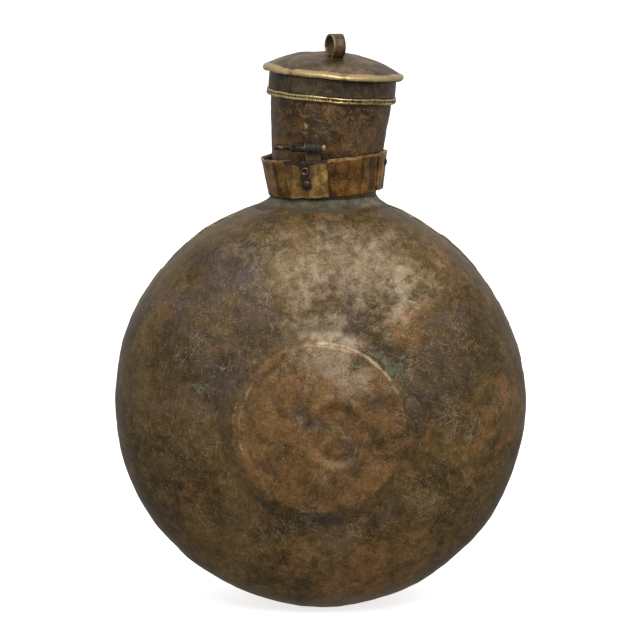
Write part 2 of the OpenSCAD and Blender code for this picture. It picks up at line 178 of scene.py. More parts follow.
def bowl_skin(rows, angles, front, thin):
    """Points of one face of a bowl, rows of way out (0 middle, 1 edge) by columns of angle. The
    first half of the way crosses the boss; the second follows the rounded side to the rim. The
    front bowl then laps past the middle plane, and the back one stops short of it. Under the
    neck the second half ends at the neck's foot."""
    inner_r = 88 * mm
    rr, dd = rim_r - thin, half_depth - thin
    turn = math.acos((inner_r / rr) ** 1.5)
    turn_end = 0.0 if front else math.asin((bowl_gap / dd) ** 1.5)
    curved = 0.46 if front else 0.5
    side = -1 if front else 1
    cx, cz = np.cos(angles), np.sin(angles)

    def at(way):
        near = np.clip(way / 0.5, 0, 1) * inner_r
        t = turn_end + (turn - turn_end) * (1 - np.clip((way - 0.5) / curved, 0, 1))
        far_r = rr * np.cos(t) ** (2 / 3)
        r = np.where(way < 0.5, near, far_r)
        x, z = r * cx, r * cz
        y = np.where(way < 0.5, bowl_face(x, z, front) - thin, dd * np.sin(np.clip(t, 0, 9)) ** (2 / 3))
        y = np.where(way > 0.5 + curved, -front_lap * (way - 0.96) / 0.04, y)
        return np.stack([x, side * y, z], -1)

    fine = at(np.broadcast_to(np.linspace(0.5, 1, 900)[:, None], (900, len(angles))))
    inside = (off_axis(fine + middle, neck) < neck_r + 0.5 * mm) & (fine[..., 2] > 0)
    first = np.where(inside.any(0), inside.argmax(0), 899) / 899 * 0.5
    way = np.where(rows[:, None] < 0.5, rows[:, None], 0.5 + (rows[:, None] - 0.5) * first / 0.5)
    p = at(way)
    r = np.hypot(p[..., 0], p[..., 2])
    normal = np.stack([p[..., 0] * r / rr ** 3, p[..., 1] * np.abs(p[..., 1]) / dd ** 3,
                       p[..., 2] * r / rr ** 3], -1)
    normal /= np.maximum(np.linalg.norm(normal, axis=-1, keepdims=True), 1e-9)
    relief = 0.34 * mm * waves(p, 52 * mm, 11) + 0.12 * mm * waves(p, 17 * mm, 12)
    p = p + normal * relief[..., None]
    swell = 1 + out_of_round(angles) / rim_r * (r / rr) ** 3
    return p * np.stack([swell, np.ones_like(swell), swell], -1) + middle


def grid_faces(rows, columns, start=0, poles=None, ring=False):
    """Quads between rows of points whose columns close into a ring. With poles, triangles close
    the first and last rows onto those two points; with ring, the last row joins the first."""
    r, c = np.meshgrid(np.arange(rows if ring else rows - 1), np.arange(columns), indexing="ij")
    a, b = start + r * columns + c, start + r * columns + (c + 1) % columns
    d, e = (start + ((r + 1) % rows) * columns + k for k in (c, (c + 1) % columns))
    faces = np.stack([a, b, e, d], -1).reshape(-1, 4).tolist()
    if poles:
        k = np.arange(columns)
        faces += np.stack([np.full(columns, poles[0]), start + (k + 1) % columns, start + k], -1).tolist()
        last = start + (rows - 1) * columns
        faces += np.stack([np.full(columns, poles[1]), last + k, last + (k + 1) % columns], -1).tolist()
    return faces


def piece(name, points, faces, material, body, node, masks):
    """A closed mesh as an object of the model. Its faces are turned round if the volume inside
    them comes out negative. masks are colours or values kept at its points, by name."""
    points = np.asarray(points, float).reshape(-1, 3)
    volume = 0.0
    for size in {len(f) for f in faces}:
        corner = points[np.array([f for f in faces if len(f) == size])]
        for k in range(1, size - 1):
            volume += np.einsum("ij,ij->", corner[:, 0], np.cross(corner[:, k], corner[:, k + 1]))
    if volume < 0:
        faces = [f[::-1] for f in faces]
    mesh = bpy.data.meshes.new(name)
    mesh.from_pydata(points.tolist(), [], faces)
    mesh.shade_smooth()
    for key, values in masks.items():
        values = np.asarray(values, float)
        if values.shape[-1] == 4 and values.ndim > 1:
            mesh.color_attributes.new(key, "FLOAT_COLOR", "POINT").data.foreach_set("color",
                values.reshape(-1))
        else:
            mesh.attributes.new(key, "FLOAT", "POINT").data.foreach_set("value", values.reshape(-1))
    mesh.materials.append(material)
    obj = bpy.data.objects.new(name, mesh)
    bpy.context.scene.collection.objects.link(obj)
    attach(obj, body)
    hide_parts(node)


def paint(red, green, blue):
    """A colour given as on a paint chart, 0 to 255, made linear."""
    c = np.array([red, green, blue]) / 255
    return (*np.where(c < 0.04045, c / 12.92, ((c + 0.055) / 1.055) ** 2.4).tolist(), 1.0)


def add(tree, kind, inputs=None, **settings):
    """A new shader node with its settings, and its inputs given as values or as other sockets."""
    n = tree.nodes.new(kind)
    for key, value in settings.items():
        setattr(n, key, value)
    for key, value in (inputs or {}).items():
        if isinstance(value, bpy.types.NodeSocket):
            tree.links.new(value, n.inputs[key])
        else:
            n.inputs[key].default_value = value
    return n


def spread(tree, value, low, high):
    """0 at low and before it, 1 at high and beyond, 3t^2 - 2t^3 between; low may be above high."""
    return add(tree, "ShaderNodeMapRange", {"Value": value, "From Min": low, "From Max": high},
               interpolation_type="SMOOTHSTEP").outputs[0]


def maths(tree, what, a, b=0.0, clamp=False):
    """One sum on two sockets or values."""
    return add(tree, "ShaderNodeMath", {0: a, 1: b}, operation=what, use_clamp=clamp).outputs[0]


def over(tree, mask, under, top):
    """Lays one colour over another where the mask is 1."""
    return add(tree, "ShaderNodeMix", {0: mask, 6: under, 7: top}, data_type="RGBA").outputs[2]


def noise(tree, vector, size, detail=3.0, rough=0.55, bend=0.0):
    """Noise whose largest patches are about size across."""
    return add(tree, "ShaderNodeTexNoise", {"Vector": vector, "Scale": 1 / size, "Detail": detail,
               "Roughness": rough, "Distortion": bend}).outputs[0]


def times(tree, a, b):
    """One socket or value multiplied by another."""
    return maths(tree, "MULTIPLY", a, b)


def plus(tree, a, b, clamp=False):
    """The sum of two sockets or values, held between 0 and 1 if clamped."""
    return maths(tree, "ADD", a, b, clamp)


def new_group(name, ins, outs):
    """An empty shader node group. ins gives each input's starting value, or None for a vector;
    every output is a number."""
    group = bpy.data.node_groups.new(name, "ShaderNodeTree")
    for key, value in ins.items():
        kind = "NodeSocketVector" if value is None else "NodeSocketFloat"
        socket = group.interface.new_socket(key, in_out="INPUT", socket_type=kind)
        if value is not None:
            socket.default_value = value
    for key in outs:
        group.interface.new_socket(key, in_out="OUTPUT", socket_type="NodeSocketFloat")
    return group, group.nodes.new("NodeGroupInput"), group.nodes.new("NodeGroupOutput")


# Tarnish: clouds some centimetres across, mottling of a few millimetres, and fine grain
tarnish, entry, leave = new_group("tarnish", {"Vector": None, "Shift": 0.0},
                                  ["Clouds", "Mottling", "Grain"])
moved = add(tarnish, "ShaderNodeVectorMath", {0: entry.outputs[0], 1: entry.outputs[1]},
            operation="ADD").outputs[0]
tarnish.links.new(spread(tarnish, noise(tarnish, moved, 46 * mm, 4, 0.6, 0.6), 0.3, 0.7), leave.inputs[0])
tarnish.links.new(spread(tarnish, noise(tarnish, moved, 7.5 * mm, 5, 0.68, 0.5), 0.28, 0.72),
                  leave.inputs[1])
tarnish.links.new(spread(tarnish, noise(tarnish, moved, 1.9 * mm, 3, 0.7), 0.25, 0.75), leave.inputs[2])

# Scratches: noise stretched 26 times, in four directions, cut off so that only hairs are left
scratching, entry, leave = new_group("scratching", {"Vector": None, "Density": 0.5},
                                     ["Hairs"])
hairs = None
where = noise(scratching, entry.outputs[0], 24 * mm, 2, 0.6)
for turn, width in ((0.35, 0.8), (1.0, 0.7), (1.75, 0.9), (2.6, 0.7)):
    laid = add(scratching, "ShaderNodeMapping", {"Vector": entry.outputs[0], "Rotation": (0.25, turn, 0.15),
               "Scale": (26.0, 1.0, 1.0)}, vector_type="TEXTURE").outputs[0]
    line = noise(scratching, laid, width * mm, 1, 0.5, 0.35)
    limit = maths(scratching, "SUBTRACT", 0.83, times(scratching, entry.outputs[1], times(scratching,
        where, 0.34)))
    hair = spread(scratching, maths(scratching, "SUBTRACT", line, limit), 0.0, 0.05)
    hairs = hair if hairs is None else maths(scratching, "MAXIMUM", hairs, hair)
scratching.links.new(hairs, leave.inputs[0])

# Nicks: single bright spots, one in some cells of a fine cell pattern, in clusters
nicking, entry, leave = new_group("nicking", {"Vector": None, "Density": 0.5},
                                  ["Spots"])
cells = add(nicking, "ShaderNodeTexVoronoi", {"Vector": entry.outputs[0], "Scale": 1 / (6 * mm)},
            feature="F1")
shade = add(nicking, "ShaderNodeSeparateColor", {0: cells.outputs["Color"]}).outputs[0]
spot = spread(nicking, cells.outputs["Distance"], 0.13, 0.05)
crowd = times(nicking, noise(nicking, entry.outputs[0], 30 * mm, 2), entry.outputs[1])
keep = spread(nicking, maths(nicking, "SUBTRACT", crowd, times(nicking, shade, 0.6)), 0.0, 0.05)
nicking.links.new(times(nicking, spot, keep), leave.inputs[0])


# Scuffs: thin curved lines, the edges of stretched cells that noise has bent out of true
scuffing, entry, leave = new_group("scuffing", {"Vector": None, "Mask": 0.0}, ["Lines"])
bent = add(scuffing, "ShaderNodeTexNoise", {"Vector": entry.outputs[0], "Scale": 1 / (9 * mm),
                                            "Detail": 2.0}).outputs["Color"]
bent = add(scuffing, "ShaderNodeVectorMath", {0: bent, "Scale": 14 * mm}, operation="SCALE").outputs[0]
bent = add(scuffing, "ShaderNodeVectorMath", {0: entry.outputs[0], 1: bent}, operation="ADD").outputs[0]
bent = add(scuffing, "ShaderNodeMapping", {"Vector": bent, "Rotation": (0.0, 0.5, 0.0), "Scale": (2.6,
    1.0, 1.0)}, vector_type="TEXTURE").outputs[0]
cut = add(scuffing, "ShaderNodeTexVoronoi", {"Vector": bent, "Scale": 1 / (8 * mm)},
          feature="DISTANCE_TO_EDGE").outputs["Distance"]
broken = spread(scuffing, noise(scuffing, entry.outputs[0], 4 * mm, 2, 0.6), 0.42, 0.6)
scuffing.links.new(times(scuffing, times(scuffing, spread(scuffing, cut, 0.06, 0.015), broken),
                         entry.outputs[1]), leave.inputs[0])

# An old surface: how far its tone is from dark (0) to light (1), where bare worn metal and dirt show,
# and its roughness, metallic and height, from the three effects above and the piece's own masks
surface, entry, leave = new_group("old_surface", {"Vector": None, "Shift": 0.0,
                                  "Scratches": 0.5, "Nicks": 0.5,
                                  "Contrast": 0.2, "Wear": 0.0, "Grime": 0.0,
                                  "Smoothest": 0.35, "Roughest": 0.55,
                                  "Metal": 0.75},
                                  ["Tone", "Shade", "Bare", "Dirt", "Roughness", "Metallic", "Height",
                                   "Mottling", "Grain"])
e = dict(zip(("vector", "shift", "scratches", "nicks", "contrast", "wear", "grime", "smoothest",
              "roughest", "metal"), entry.outputs))
clouds, mottling, grain = add(surface, "ShaderNodeGroup", {0: e["vector"], 1: e["shift"]},
                              node_tree=tarnish).outputs
hairs = add(surface, "ShaderNodeGroup", {0: e["vector"], 1: e["scratches"]},
            node_tree=scratching).outputs[0]
spots = add(surface, "ShaderNodeGroup", {0: e["vector"], 1: e["nicks"]}, node_tree=nicking).outputs[0]


def weigh(tree, a, share_a, b, share_b):
    """a x its share + b x its share."""
    return plus(tree, times(tree, a, share_a), times(tree, b, share_b))


uneven = weigh(surface, mottling, 0.42, grain, 0.58)
ragged = weigh(surface, mottling, 0.3, grain, 0.2)
dirt = spread(surface, plus(surface, e["grime"], ragged), 0.4, 0.95)
bare = spread(surface, plus(surface, e["wear"], ragged), 0.45, 1.0)
fine = maths(surface, "MAXIMUM", times(surface, hairs, 0.42), times(surface, spots, 0.6))
bare = maths(surface, "MAXIMUM", bare, fine)
light_part = times(surface, maths(surface, "SUBTRACT", times(surface, uneven, 2.0), 1.0), e["contrast"])
rough = plus(surface, e["smoothest"], times(surface, uneven, maths(surface, "SUBTRACT", e["roughest"],
    e["smoothest"])))
rough = plus(surface, rough, weigh(surface, dirt, 0.2, bare, -0.08), clamp=True)
metal = plus(surface, e["metal"], weigh(surface, dirt, -0.4, bare, 0.2), clamp=True)
height = plus(surface, weigh(surface, grain, 0.3, mottling, 0.5), weigh(surface, hairs, -0.25, spots, -0.2))
for number, value in enumerate((weigh(surface, clouds, 0.62, mottling, 0.38), plus(surface, light_part,
    1.0), bare, dirt, rough, metal,
                                height, mottling, grain)):
    surface.links.new(value, leave.inputs[number])


def aged(name, dark, mid, light, worn, dirt=(40, 34, 26), shift=0.0, metal=0.75, rough=(0.36, 0.56),
         scratch=0.5, nick=0.28, contrast=0.2, depth=0.25):
    """An old metal, whose colour runs from dark through mid to light with its tarnish, with worn
    places and dirt on it. Returns its parts, to which a section may add before finish_metal."""
    material = bpy.data.materials.new(name)
    material.use_nodes = True
    tree = material.node_tree
    here = add(tree, "ShaderNodeTexCoord").outputs["Object"]
    old = add(tree, "ShaderNodeGroup", node_tree=surface)
    wear = add(tree, "ShaderNodeAttribute", attribute_name="wear").outputs["Fac"]
    grime = add(tree, "ShaderNodeAttribute", attribute_name="grime").outputs["Fac"]
    for key, socket in (("Vector", here), ("Wear", wear), ("Grime", grime)):
        tree.links.new(socket, old.inputs[key])
    for key, value in (("Shift", shift), ("Scratches", scratch), ("Nicks", nick), ("Contrast", contrast),
                       ("Smoothest", rough[0]), ("Roughest", rough[1]), ("Metal", metal)):
        old.inputs[key].default_value = value
    ramp = add(tree, "ShaderNodeValToRGB", {0: old.outputs["Tone"]})
    ramp.color_ramp.elements[0].position, ramp.color_ramp.elements[0].color = 0.18, paint(*dark)
    ramp.color_ramp.elements[1].position, ramp.color_ramp.elements[1].color = 0.85, paint(*light)
    ramp.color_ramp.elements.new(0.5).color = paint(*mid)
    return {"material": material, "tree": tree, "here": here, "old": old.outputs, "colour": ramp.outputs[0],
            "worn": paint(*worn), "dirt": paint(*dirt), "depth": depth, "height": old.outputs["Height"],
            "roughness": old.outputs["Roughness"], "metallic": old.outputs["Metallic"]}


def finish_metal(m):
    """Joins an aged metal's parts to its shader: colour shaded by the mottling, dirt and worn metal
    over it, and a bump from the height."""
    tree, shader = m["tree"], m["tree"].nodes["Principled BSDF"]
    colour = add(tree, "ShaderNodeVectorMath", {0: m["colour"], "Scale": m["old"]["Shade"]},
                 operation="SCALE").outputs[0]
    colour = over(tree, m["old"]["Bare"], over(tree, m["old"]["Dirt"], colour, m["dirt"]), m["worn"])
    tree.links.new(colour, shader.inputs["Base Color"])
    tree.links.new(m["roughness"], shader.inputs["Roughness"])
    tree.links.new(m["metallic"], shader.inputs["Metallic"])
    bump = add(tree, "ShaderNodeBump", {"Height": m["height"], "Strength": 1.0,
                                        "Distance": m["depth"] * mm})
    tree.links.new(bump.outputs[0], shader.inputs["Normal"])
    return m["material"]


def tinge(m, mask, strength, top):
    """Lays a colour over an aged metal's own, as far as mask x strength."""
    m["colour"] = over(m["tree"], times(m["tree"], mask, strength), m["colour"], paint(*top))


def spots_of(points, spots, seed):
    """A mask of soft patches: the largest of strength x exp(-(distance / radius)^2) over the
    (x, z, radius, strength) given in millimetres, with their outlines pulled about by waves."""
    flat = points[..., [0, 2]] - middle[[0, 2]]
    pulled = flat + mm * np.stack([7 * waves(points, 26 * mm, seed) + 3 * waves(points, 9 * mm, seed + 1),
                                   7 * waves(points, 26 * mm, seed + 2) + 3 * waves(points, 9 * mm,
                                       seed + 3)], -1)
    mask = np.zeros(points.shape[:-1])
    for x, z, radius, strength in spots:
        far = np.hypot(pulled[..., 0] - x * mm, pulled[..., 1] - z * mm)
        mask = np.maximum(mask, strength * bell(far, radius * mm))
    return mask


copper_spots = [(0, -4, 62, 0.55), (62, 72, 17, 0.8), (-81, 60, 9, 0.7), (58, -20, 15, 0.8),
                (78, -16, 7, 0.9),
                (141, 13, 14, 0.8), (133, -12, 18, 0.7), (117, -40, 20, 0.5), (-16, -112, 24, 0.6),
                (45, -118, 30, 0.75), (16, -140, 26, 0.6), (79, -97, 22, 0.6), (-101, -60, 14, 0.5),
                (-118, 92, 16, 0.5), (4, 158, 13, 0.9), (94, 120, 18, 0.6), (110, 100, 16, 0.5),
                (-40, 10, 16, 0.7),
                (-46, -34, 14, 0.6), (30, -58, 24, 0.5), (12, 92, 10, 0.5), (-115, -5, 8, 0.5),
                (-30, 20, 14, 0.6)]
grey_spots = [(-78, 40, 34, 0.7), (-50, 84, 26, 0.7), (-70, 113, 26, 1.0), (-109, 85, 22, 0.8),
              (-90, 66, 18, 0.5), (-58, 64, 14, 0.6), (19, 89, 26, 0.6),
              (88, 30, 34, 0.6), (-132, 14, 26, 0.5), (60, 46, 18, 0.5), (-13, 6, 7, 1.0), (46, 10, 6, 0.9),
              (-95, 10, 26, 0.5), (-60, -80, 30, 0.4), (10, -88, 26, 0.5), (60, -66, 22, 0.5),
              (100, 72, 18, 0.7),
              (20, -30, 14, 0.6), (-84, 96, 14, 0.7)]
# The pale patches are partly rubbed metal and partly painted highlight: they sit where the light's sheen
# falls on the upper half and on the boss's top.
pale_sheen_spots = [(8, 135, 30, 0.4), (-22, 118, 22, 0.5), (-14, 104, 16, 0.8), (40, 126, 24, 0.6),
              (62, 102, 13, 1.0), (64, 90, 8, 0.9),
              (-6, 72, 15, 1.0), (14, 72, 10, 0.8), (10, 46, 24, 0.9), (24, 30, 24, 0.4), (84, 110, 16,
                  0.5),
              (-48, 128, 18, 0.4), (40, 84, 14, 0.4), (30, 104, 20, 0.5)]
scuff_spots = [(62, 100, 13, 1.0), (-20, 112, 16, 0.8), (0, 72, 12, 0.7), (40, 124, 18, 0.5),
               (-46, -10, 12, 0.6), (-62, 40, 10, 0.7),
               (-6, -66, 12, 0.6), (28, -64, 10, 0.5), (-92, 64, 12, 0.4), (70, 52, 18, 0.6),
               (64, 4, 10, 0.5), (-104, -10, 12, 0.6),
               (92, -64, 14, 0.5), (6, 26, 14, 0.3)]
green_spots = [(19, -8, 6, 0.9), (5, -11, 5, 0.7), (50, 54, 9, 0.75), (57, 44, 8, 0.8),
               (62, 32, 8, 0.7), (66, 18, 7, 0.5), (-58, 125, 9, 0.45),
               (-90, 36, 6, 0.6), (113, -22, 9, 0.4), (39, 107, 6, 0.7), (-10, -92, 18, 0.3),
               (30, -90, 14, 0.3)]
dark_spots = [(-77, 46, 8, 1.0), (-66, 38, 6, 0.6), (50, 52, 10, 0.6), (-13, 6, 6, 0.7), (46, 10, 5, 0.6),
              (-40, 140, 10, 0.3), (0, -80, 24, 0.35), (-110, -20, 30, 0.3), (12, 0, 5, 0.5)]

body_metal = aged("aged copper", (70, 53, 22), (92, 71, 33), (113, 88, 45), (186, 164, 130),
                  dirt=(52, 45, 34),
                  metal=0.4, rough=(0.38, 0.54), scratch=0.85, nick=0.16, contrast=0.42, depth=0.24)
tree = body_metal["tree"]
stains_and_sheen = add(tree, "ShaderNodeSeparateColor", {0: add(tree, "ShaderNodeAttribute",
                                                     attribute_name="patina_and_sheen").outputs["Color"]})
marks_and_shade = add(tree, "ShaderNodeSeparateColor", {0: add(tree, "ShaderNodeAttribute",
                                                     attribute_name="marks_and_shade").outputs["Color"]})
ragged = maths(tree, "SUBTRACT", weigh(tree, body_metal["old"]["Mottling"], 0.7,
                                       body_metal["old"]["Grain"], 0.3), 0.5)


# Stains and painted light laid over the copper in this order, each soft mask broken up at its edge by
# the mottling: bare copper, purple-grey, pale rubbed metal with painted highlight on the upper half,
# dark stains with a ring of painted shade round the boss's foot, and verdigris, whose amount is used again
# below
for mask, bite, low, high, strength, top in ((stains_and_sheen.outputs[0], 0.45, 0.05, 1.0, 0.75, (142, 100, 56)),
                                             (stains_and_sheen.outputs[1], 0.35, 0.05, 1.0, 0.75, (86, 71, 68)),
                                             (stains_and_sheen.outputs[2], 0.52, 0.05, 1.0, 0.72, (168, 149, 122)),
                                             (marks_and_shade.outputs[1], 0.5, 0.2, 0.95, 0.75, (44, 40, 35)),
                                             (marks_and_shade.outputs[0], 0.9, 0.3, 0.8, 0.6, (88, 102, 76))):
    broken = spread(tree, plus(tree, mask, times(tree, ragged, bite)), low, high)
    layer_amount = times(tree, broken, strength)
    body_metal["colour"] = over(tree, layer_amount, body_metal["colour"], paint(*top))
body_metal["metallic"] = maths(tree, "SUBTRACT", body_metal["metallic"], times(tree, layer_amount, 0.6),
                               clamp=True)
body_metal["roughness"] = plus(tree, body_metal["roughness"], times(tree, layer_amount, 0.25), clamp=True)
scuffs = add(tree, "ShaderNodeGroup", {0: body_metal["here"], 1: marks_and_shade.outputs[2]}, node_tree=scuffing)
tinge(body_metal, scuffs.outputs[0], 0.6, (186, 166, 134))
beaten = add(tree, "ShaderNodeTexVoronoi", {"Vector": body_metal["here"], "Scale": 1 / (13 * mm),
                                            "Smoothness": 1.0}, feature="SMOOTH_F1").outputs["Distance"]
body_metal["height"] = plus(tree, body_metal["height"], times(tree, beaten, 0.8))
body_copper = finish_metal(body_metal)

columns = 480
angles = np.arange(columns) / columns * 2 * np.pi + np.pi / columns
boss_rows = np.concatenate([np.linspace(1.5, 54, 30), np.linspace(55, 82, 34), np.linspace(84, 88,
    3)]) / 88 * 0.5
side_rows = np.concatenate([np.linspace(0.5, 0.94, 46)[1:], [0.95, 0.96, 0.975, 1.0]])
lining_rows = np.concatenate([np.linspace(0.02, 0.5, 16), np.linspace(0.5, 0.96, 14)[1:], [1.0]])
for name, front in (("front_bowl", True), ("back_bowl", False)):
    outer = bowl_skin(np.concatenate([boss_rows, side_rows]), angles, front, 0.0)
    lining = bowl_skin(lining_rows, angles, front, sheet)[::-1]
    side = -1 if front else 1
    tips = middle + np.array([[0, side * bowl_face(np.zeros(1), np.zeros(1), front)[0], 0]])
    tips = np.concatenate([tips, tips - [[0, side * sheet, 0]]])
    points = np.concatenate([outer.reshape(-1, 3), lining.reshape(-1, 3), tips])
    rows = len(outer) + len(lining)
    faces = grid_faces(rows, columns, poles=(rows * columns, rows * columns + 1))
    flat = points - middle
    show = -side
    seen = points * [show, 1, 1]
    foot = np.hypot(flat[:, 0] * show + 0.5 * mm, flat[:, 2] + 4 * mm)
    way = np.arctan2(flat[:, 2] + 4 * mm, flat[:, 0] * show)
    # Wear along the boss's crease and the lip inside it; the much stronger band at the upper right is
    # painted highlight where light catches the crease.
    crease_wear_and_glint = bell(foot - 66.8 * mm, 1.3 * mm) * (0.1 + 0.62 * window(way, 62, 24)
                                                   + 0.22 * window(way, 178, 18)
                                                   + 0.2 * window(way, 245, 22))
    crease_wear_and_glint += 0.45 * bell(foot - 62 * mm, 1.2 * mm) * window(way, 172, 22)
    crease_wear_and_glint *= 0.9 + 0.25 * waves(points, 16 * mm, 31)
    facing = np.clip(-flat[:, 1] * show / (60 * mm), 0, 1)
    masks = np.stack([spots_of(seen, copper_spots, 41), spots_of(seen, grey_spots, 51),
                      spots_of(seen, pale_sheen_spots, 61), np.ones(len(points))], -1)
    masks[:, 0] = np.maximum(masks[:, 0], 0.75 * smooth((68.5 * mm - foot) / (2.5 * mm)) * (0.8
        + 0.2 * waves(points, 22 * mm, 45)))
    masks[:, :3] *= (0.35 + 0.65 * facing)[:, None] if front else (0.25 + 0.5 * facing)[:, None]
    # The dark ring round the boss's foot is painted shade where the boss rises from the bowl.
    marks_and_shade_at = np.stack([spots_of(seen, green_spots, 71) * facing, spots_of(seen, dark_spots, 81) * facing
                         + 0.45 * bell(foot - 76 * mm, 6 * mm) * (0.7 + 0.4 * waves(points, 30 * mm,
                             85)), spots_of(seen, scuff_spots, 91) * facing, np.ones(len(points))], -1)
    piece(name, points, faces, body_copper, "bottle",
          "front_shell" if front else "back_shell",
          {"patina_and_sheen": masks, "marks_and_shade": marks_and_shade_at, "wear": np.clip(crease_wear_and_glint, 0, 1),
           "grime": np.zeros(len(points))})

# ---------------------------------------------------------------------------
# THE RIM SEAM
# The edges of the two bowls are cut into square teeth that lock together, and
# brass is run along the zigzag and filed almost level with the copper.

teeth = 44
seam_half = 1.3 * mm
seam_proud = 0.5 * mm
seam_mid = 4.8 * mm
seam_metal = aged("brazed seam", (70, 56, 34), (104, 84, 46), (142, 116, 62), (190, 160, 96), shift=3.1,
                  metal=0.8,
                  rough=(0.36, 0.52), scratch=0.5, depth=0.3)
brass_seam = finish_metal(seam_metal)
walk = np.linspace(0, 1, teeth * 24 + 1)[:-1]
zig = np.tanh(5.5 * np.sin(2 * np.pi * teeth * walk + 0.9 * waves(walk[:, None], 0.06, 21))) * (4.2
    + 0.8 * waves(walk[:, None], 0.05, 22)) * mm
seam_angle = np.pi / 2 + 2 * np.pi * walk
lines = np.stack([seam_angle * rim_r, zig], -1)
ahead = np.roll(lines, -1, 0) - np.roll(lines, 1, 0)
ahead[:, 0] = (ahead[:, 0] + np.pi * rim_r) % (2 * np.pi * rim_r) - np.pi * rim_r
ahead /= np.linalg.norm(ahead, axis=1, keepdims=True)
across = np.linspace(0, 2 * np.pi, 9)[:-1]
sideways = seam_half * np.cos(across)
proud = np.where(np.sin(across) > 0, seam_proud * np.sin(across), 0.9 * mm * np.sin(across))
s_at = lines[:, None, 0] - ahead[:, None, 1] * sideways * 0.9
y_at = lines[:, None, 1] + ahead[:, None, 0] * sideways + seam_mid
a_at = s_at / rim_r
drop = rim_r * (1 - np.cbrt(1 - (np.clip(np.abs(y_at) - 4 * mm * (y_at < 0), 0, 1) / half_depth) ** 3))
flat_r = rim_r - drop
base = np.stack([flat_r * np.cos(a_at), y_at, flat_r * np.sin(a_at)], -1)
lift = 0.34 * mm * waves(base, 52 * mm, 11) + 0.12 * mm * waves(base, 17 * mm, 12)
flat_r = flat_r + lift + out_of_round(a_at) + proud
points = np.stack([flat_r * np.cos(a_at), y_at, flat_r * np.sin(a_at)], -1) + middle
under_neck = off_axis(points, neck) < neck_r + 1.5 * mm
points[under_neck & (points[..., 2] > middle[2]), 2] -= 9 * mm
piece("rim_seam", points, grid_faces(len(walk), 8, ring=True), brass_seam, "bottle", "rim_braze",
      {"wear": np.repeat(np.clip(0.35 + 0.3 * waves(walk[:, None], 0.02, 23), 0, 1), 8),
       "grime": np.zeros(len(walk) * 8)})

# ---------------------------------------------------------------------------
# THE NECK
# A cone of copper sheet, brazed up the back and set into the body's top, with
# dents and long scratches, greenish at its foot where the solder holds it.

neck_h = 79 * mm
ring_h = 5 * mm
mouth_h = 11 * mm
mouth_r = neck_r + neck_h * neck_slope + 1.2 * mm
neck_wall = 1.25 * mm


def turned(profile, steps, place, closed=True, relief=None, squash=None):
    """A profile of (radius, height) points carried round a frame's Z axis. A closed profile makes
    a ring; an open one starts and ends on the axis, where it gets poles. relief(angle, radius,
    height) moves each point outwards from the axis, and squash moves it along the axis."""
    profile = np.asarray(profile, float)
    body = profile if closed else profile[1:-1]
    a = np.arange(steps) / steps * 2 * np.pi
    r = np.broadcast_to(body[:, :1], (len(body), steps)).copy()
    h = np.broadcast_to(body[:, 1:], (len(body), steps)).copy()
    aa = np.broadcast_to(a, r.shape)
    if relief:
        r = r + relief(aa, r, h)
    if squash:
        h = h + squash(aa, r, h)
    points = np.stack([r * np.cos(aa), r * np.sin(aa), h], -1).reshape(-1, 3)
    if closed:
        return put(place, points), grid_faces(len(body), steps, ring=True), (aa, r, h)
    ends = np.array([[0, 0, profile[0, 1]], [0, 0, profile[-1, 1]]])
    n = len(points)
    return (put(place, np.concatenate([points, ends])),
            grid_faces(len(body), steps, poles=(n, n + 1)), (aa, r, h))


def line(a, b, n):
    """n points in a straight line from a to b."""
    return np.linspace(a, b, n)


def arc(centre, radius, start, stop, n):
    """Points on a circle about the centre, from one angle in degrees to another."""
    t = np.radians(np.linspace(start, stop, n))
    return np.stack([centre[0] + radius * np.cos(t), centre[1] + radius * np.sin(t)], -1)


def around(a, h, wide=1.0):
    """Places on a tube as points of space, so that waves meet where the tube closes."""
    return np.stack([wide * np.cos(a), wide * np.sin(a), h / (45 * mm)], -1) * 45 * mm


def neck_relief(a, r, h):
    """Two dents and two sizes of waves, dying out at the top, which the ring holds round."""
    held = smooth((neck_h - h) / (8 * mm))
    dents = -0.9 * mm * bell(np.hypot((a - np.radians(247)) * 45 * mm, h - 60 * mm), 6 * mm)
    dents -= 0.6 * mm * bell(np.hypot((a - np.radians(285)) * 45 * mm, h - 50 * mm), 5 * mm)
    return held * (dents + 0.22 * mm * waves(around(a, h), 22 * mm, 101)
                   + 0.07 * mm * waves(around(a, h), 7 * mm, 102))


neck_sink = 12 * mm
outside = np.concatenate([line((neck_r - neck_sink * neck_slope, -neck_sink),
                               (neck_r + neck_h * neck_slope, neck_h), 60),
                          [(mouth_r - 0.3 * mm, neck_h + 0.2 * mm), (mouth_r, neck_h + ring_h)],
                          line((mouth_r, neck_h + ring_h + 2 * mm), (mouth_r, neck_h + ring_h + mouth_h
                              - 0.4 * mm), 4),
                          [(mouth_r - 0.35 * mm, neck_h + ring_h + mouth_h)]])
inside = (outside - [neck_wall, 0])[::-1]
points, faces, (a, r, h) = turned(np.concatenate([outside, inside]), 240, neck, relief=neck_relief)
neck_metal = aged("neck copper", (54, 41, 27), (82, 62, 40), (116, 88, 54), (186, 148, 100),
                  dirt=(44, 38, 28), shift=7.3,
                  metal=0.6, rough=(0.34, 0.52), contrast=0.5, scratch=0.85, depth=0.3)
tree = neck_metal["tree"]
rust = spread(tree, noise(tree, neck_metal["here"], 13 * mm, 5, 0.7, 1.2), 0.52, 0.66)
mould = spread(tree, noise(tree, add(tree, "ShaderNodeMapping", {"Vector": neck_metal["here"],
    "Location": (0.3, 0.1, 0.2)}).outputs[0], 16 * mm, 4, 0.65, 0.8), 0.5, 0.66)
tinge(neck_metal, mould, 0.75, (84, 78, 62))
tinge(neck_metal, rust, 0.7, (126, 84, 40))
scuff = add(tree, "ShaderNodeAttribute", attribute_name="scuff").outputs["Fac"]
scuffs = add(tree, "ShaderNodeGroup", {0: neck_metal["here"], 1: scuff}, node_tree=scuffing)
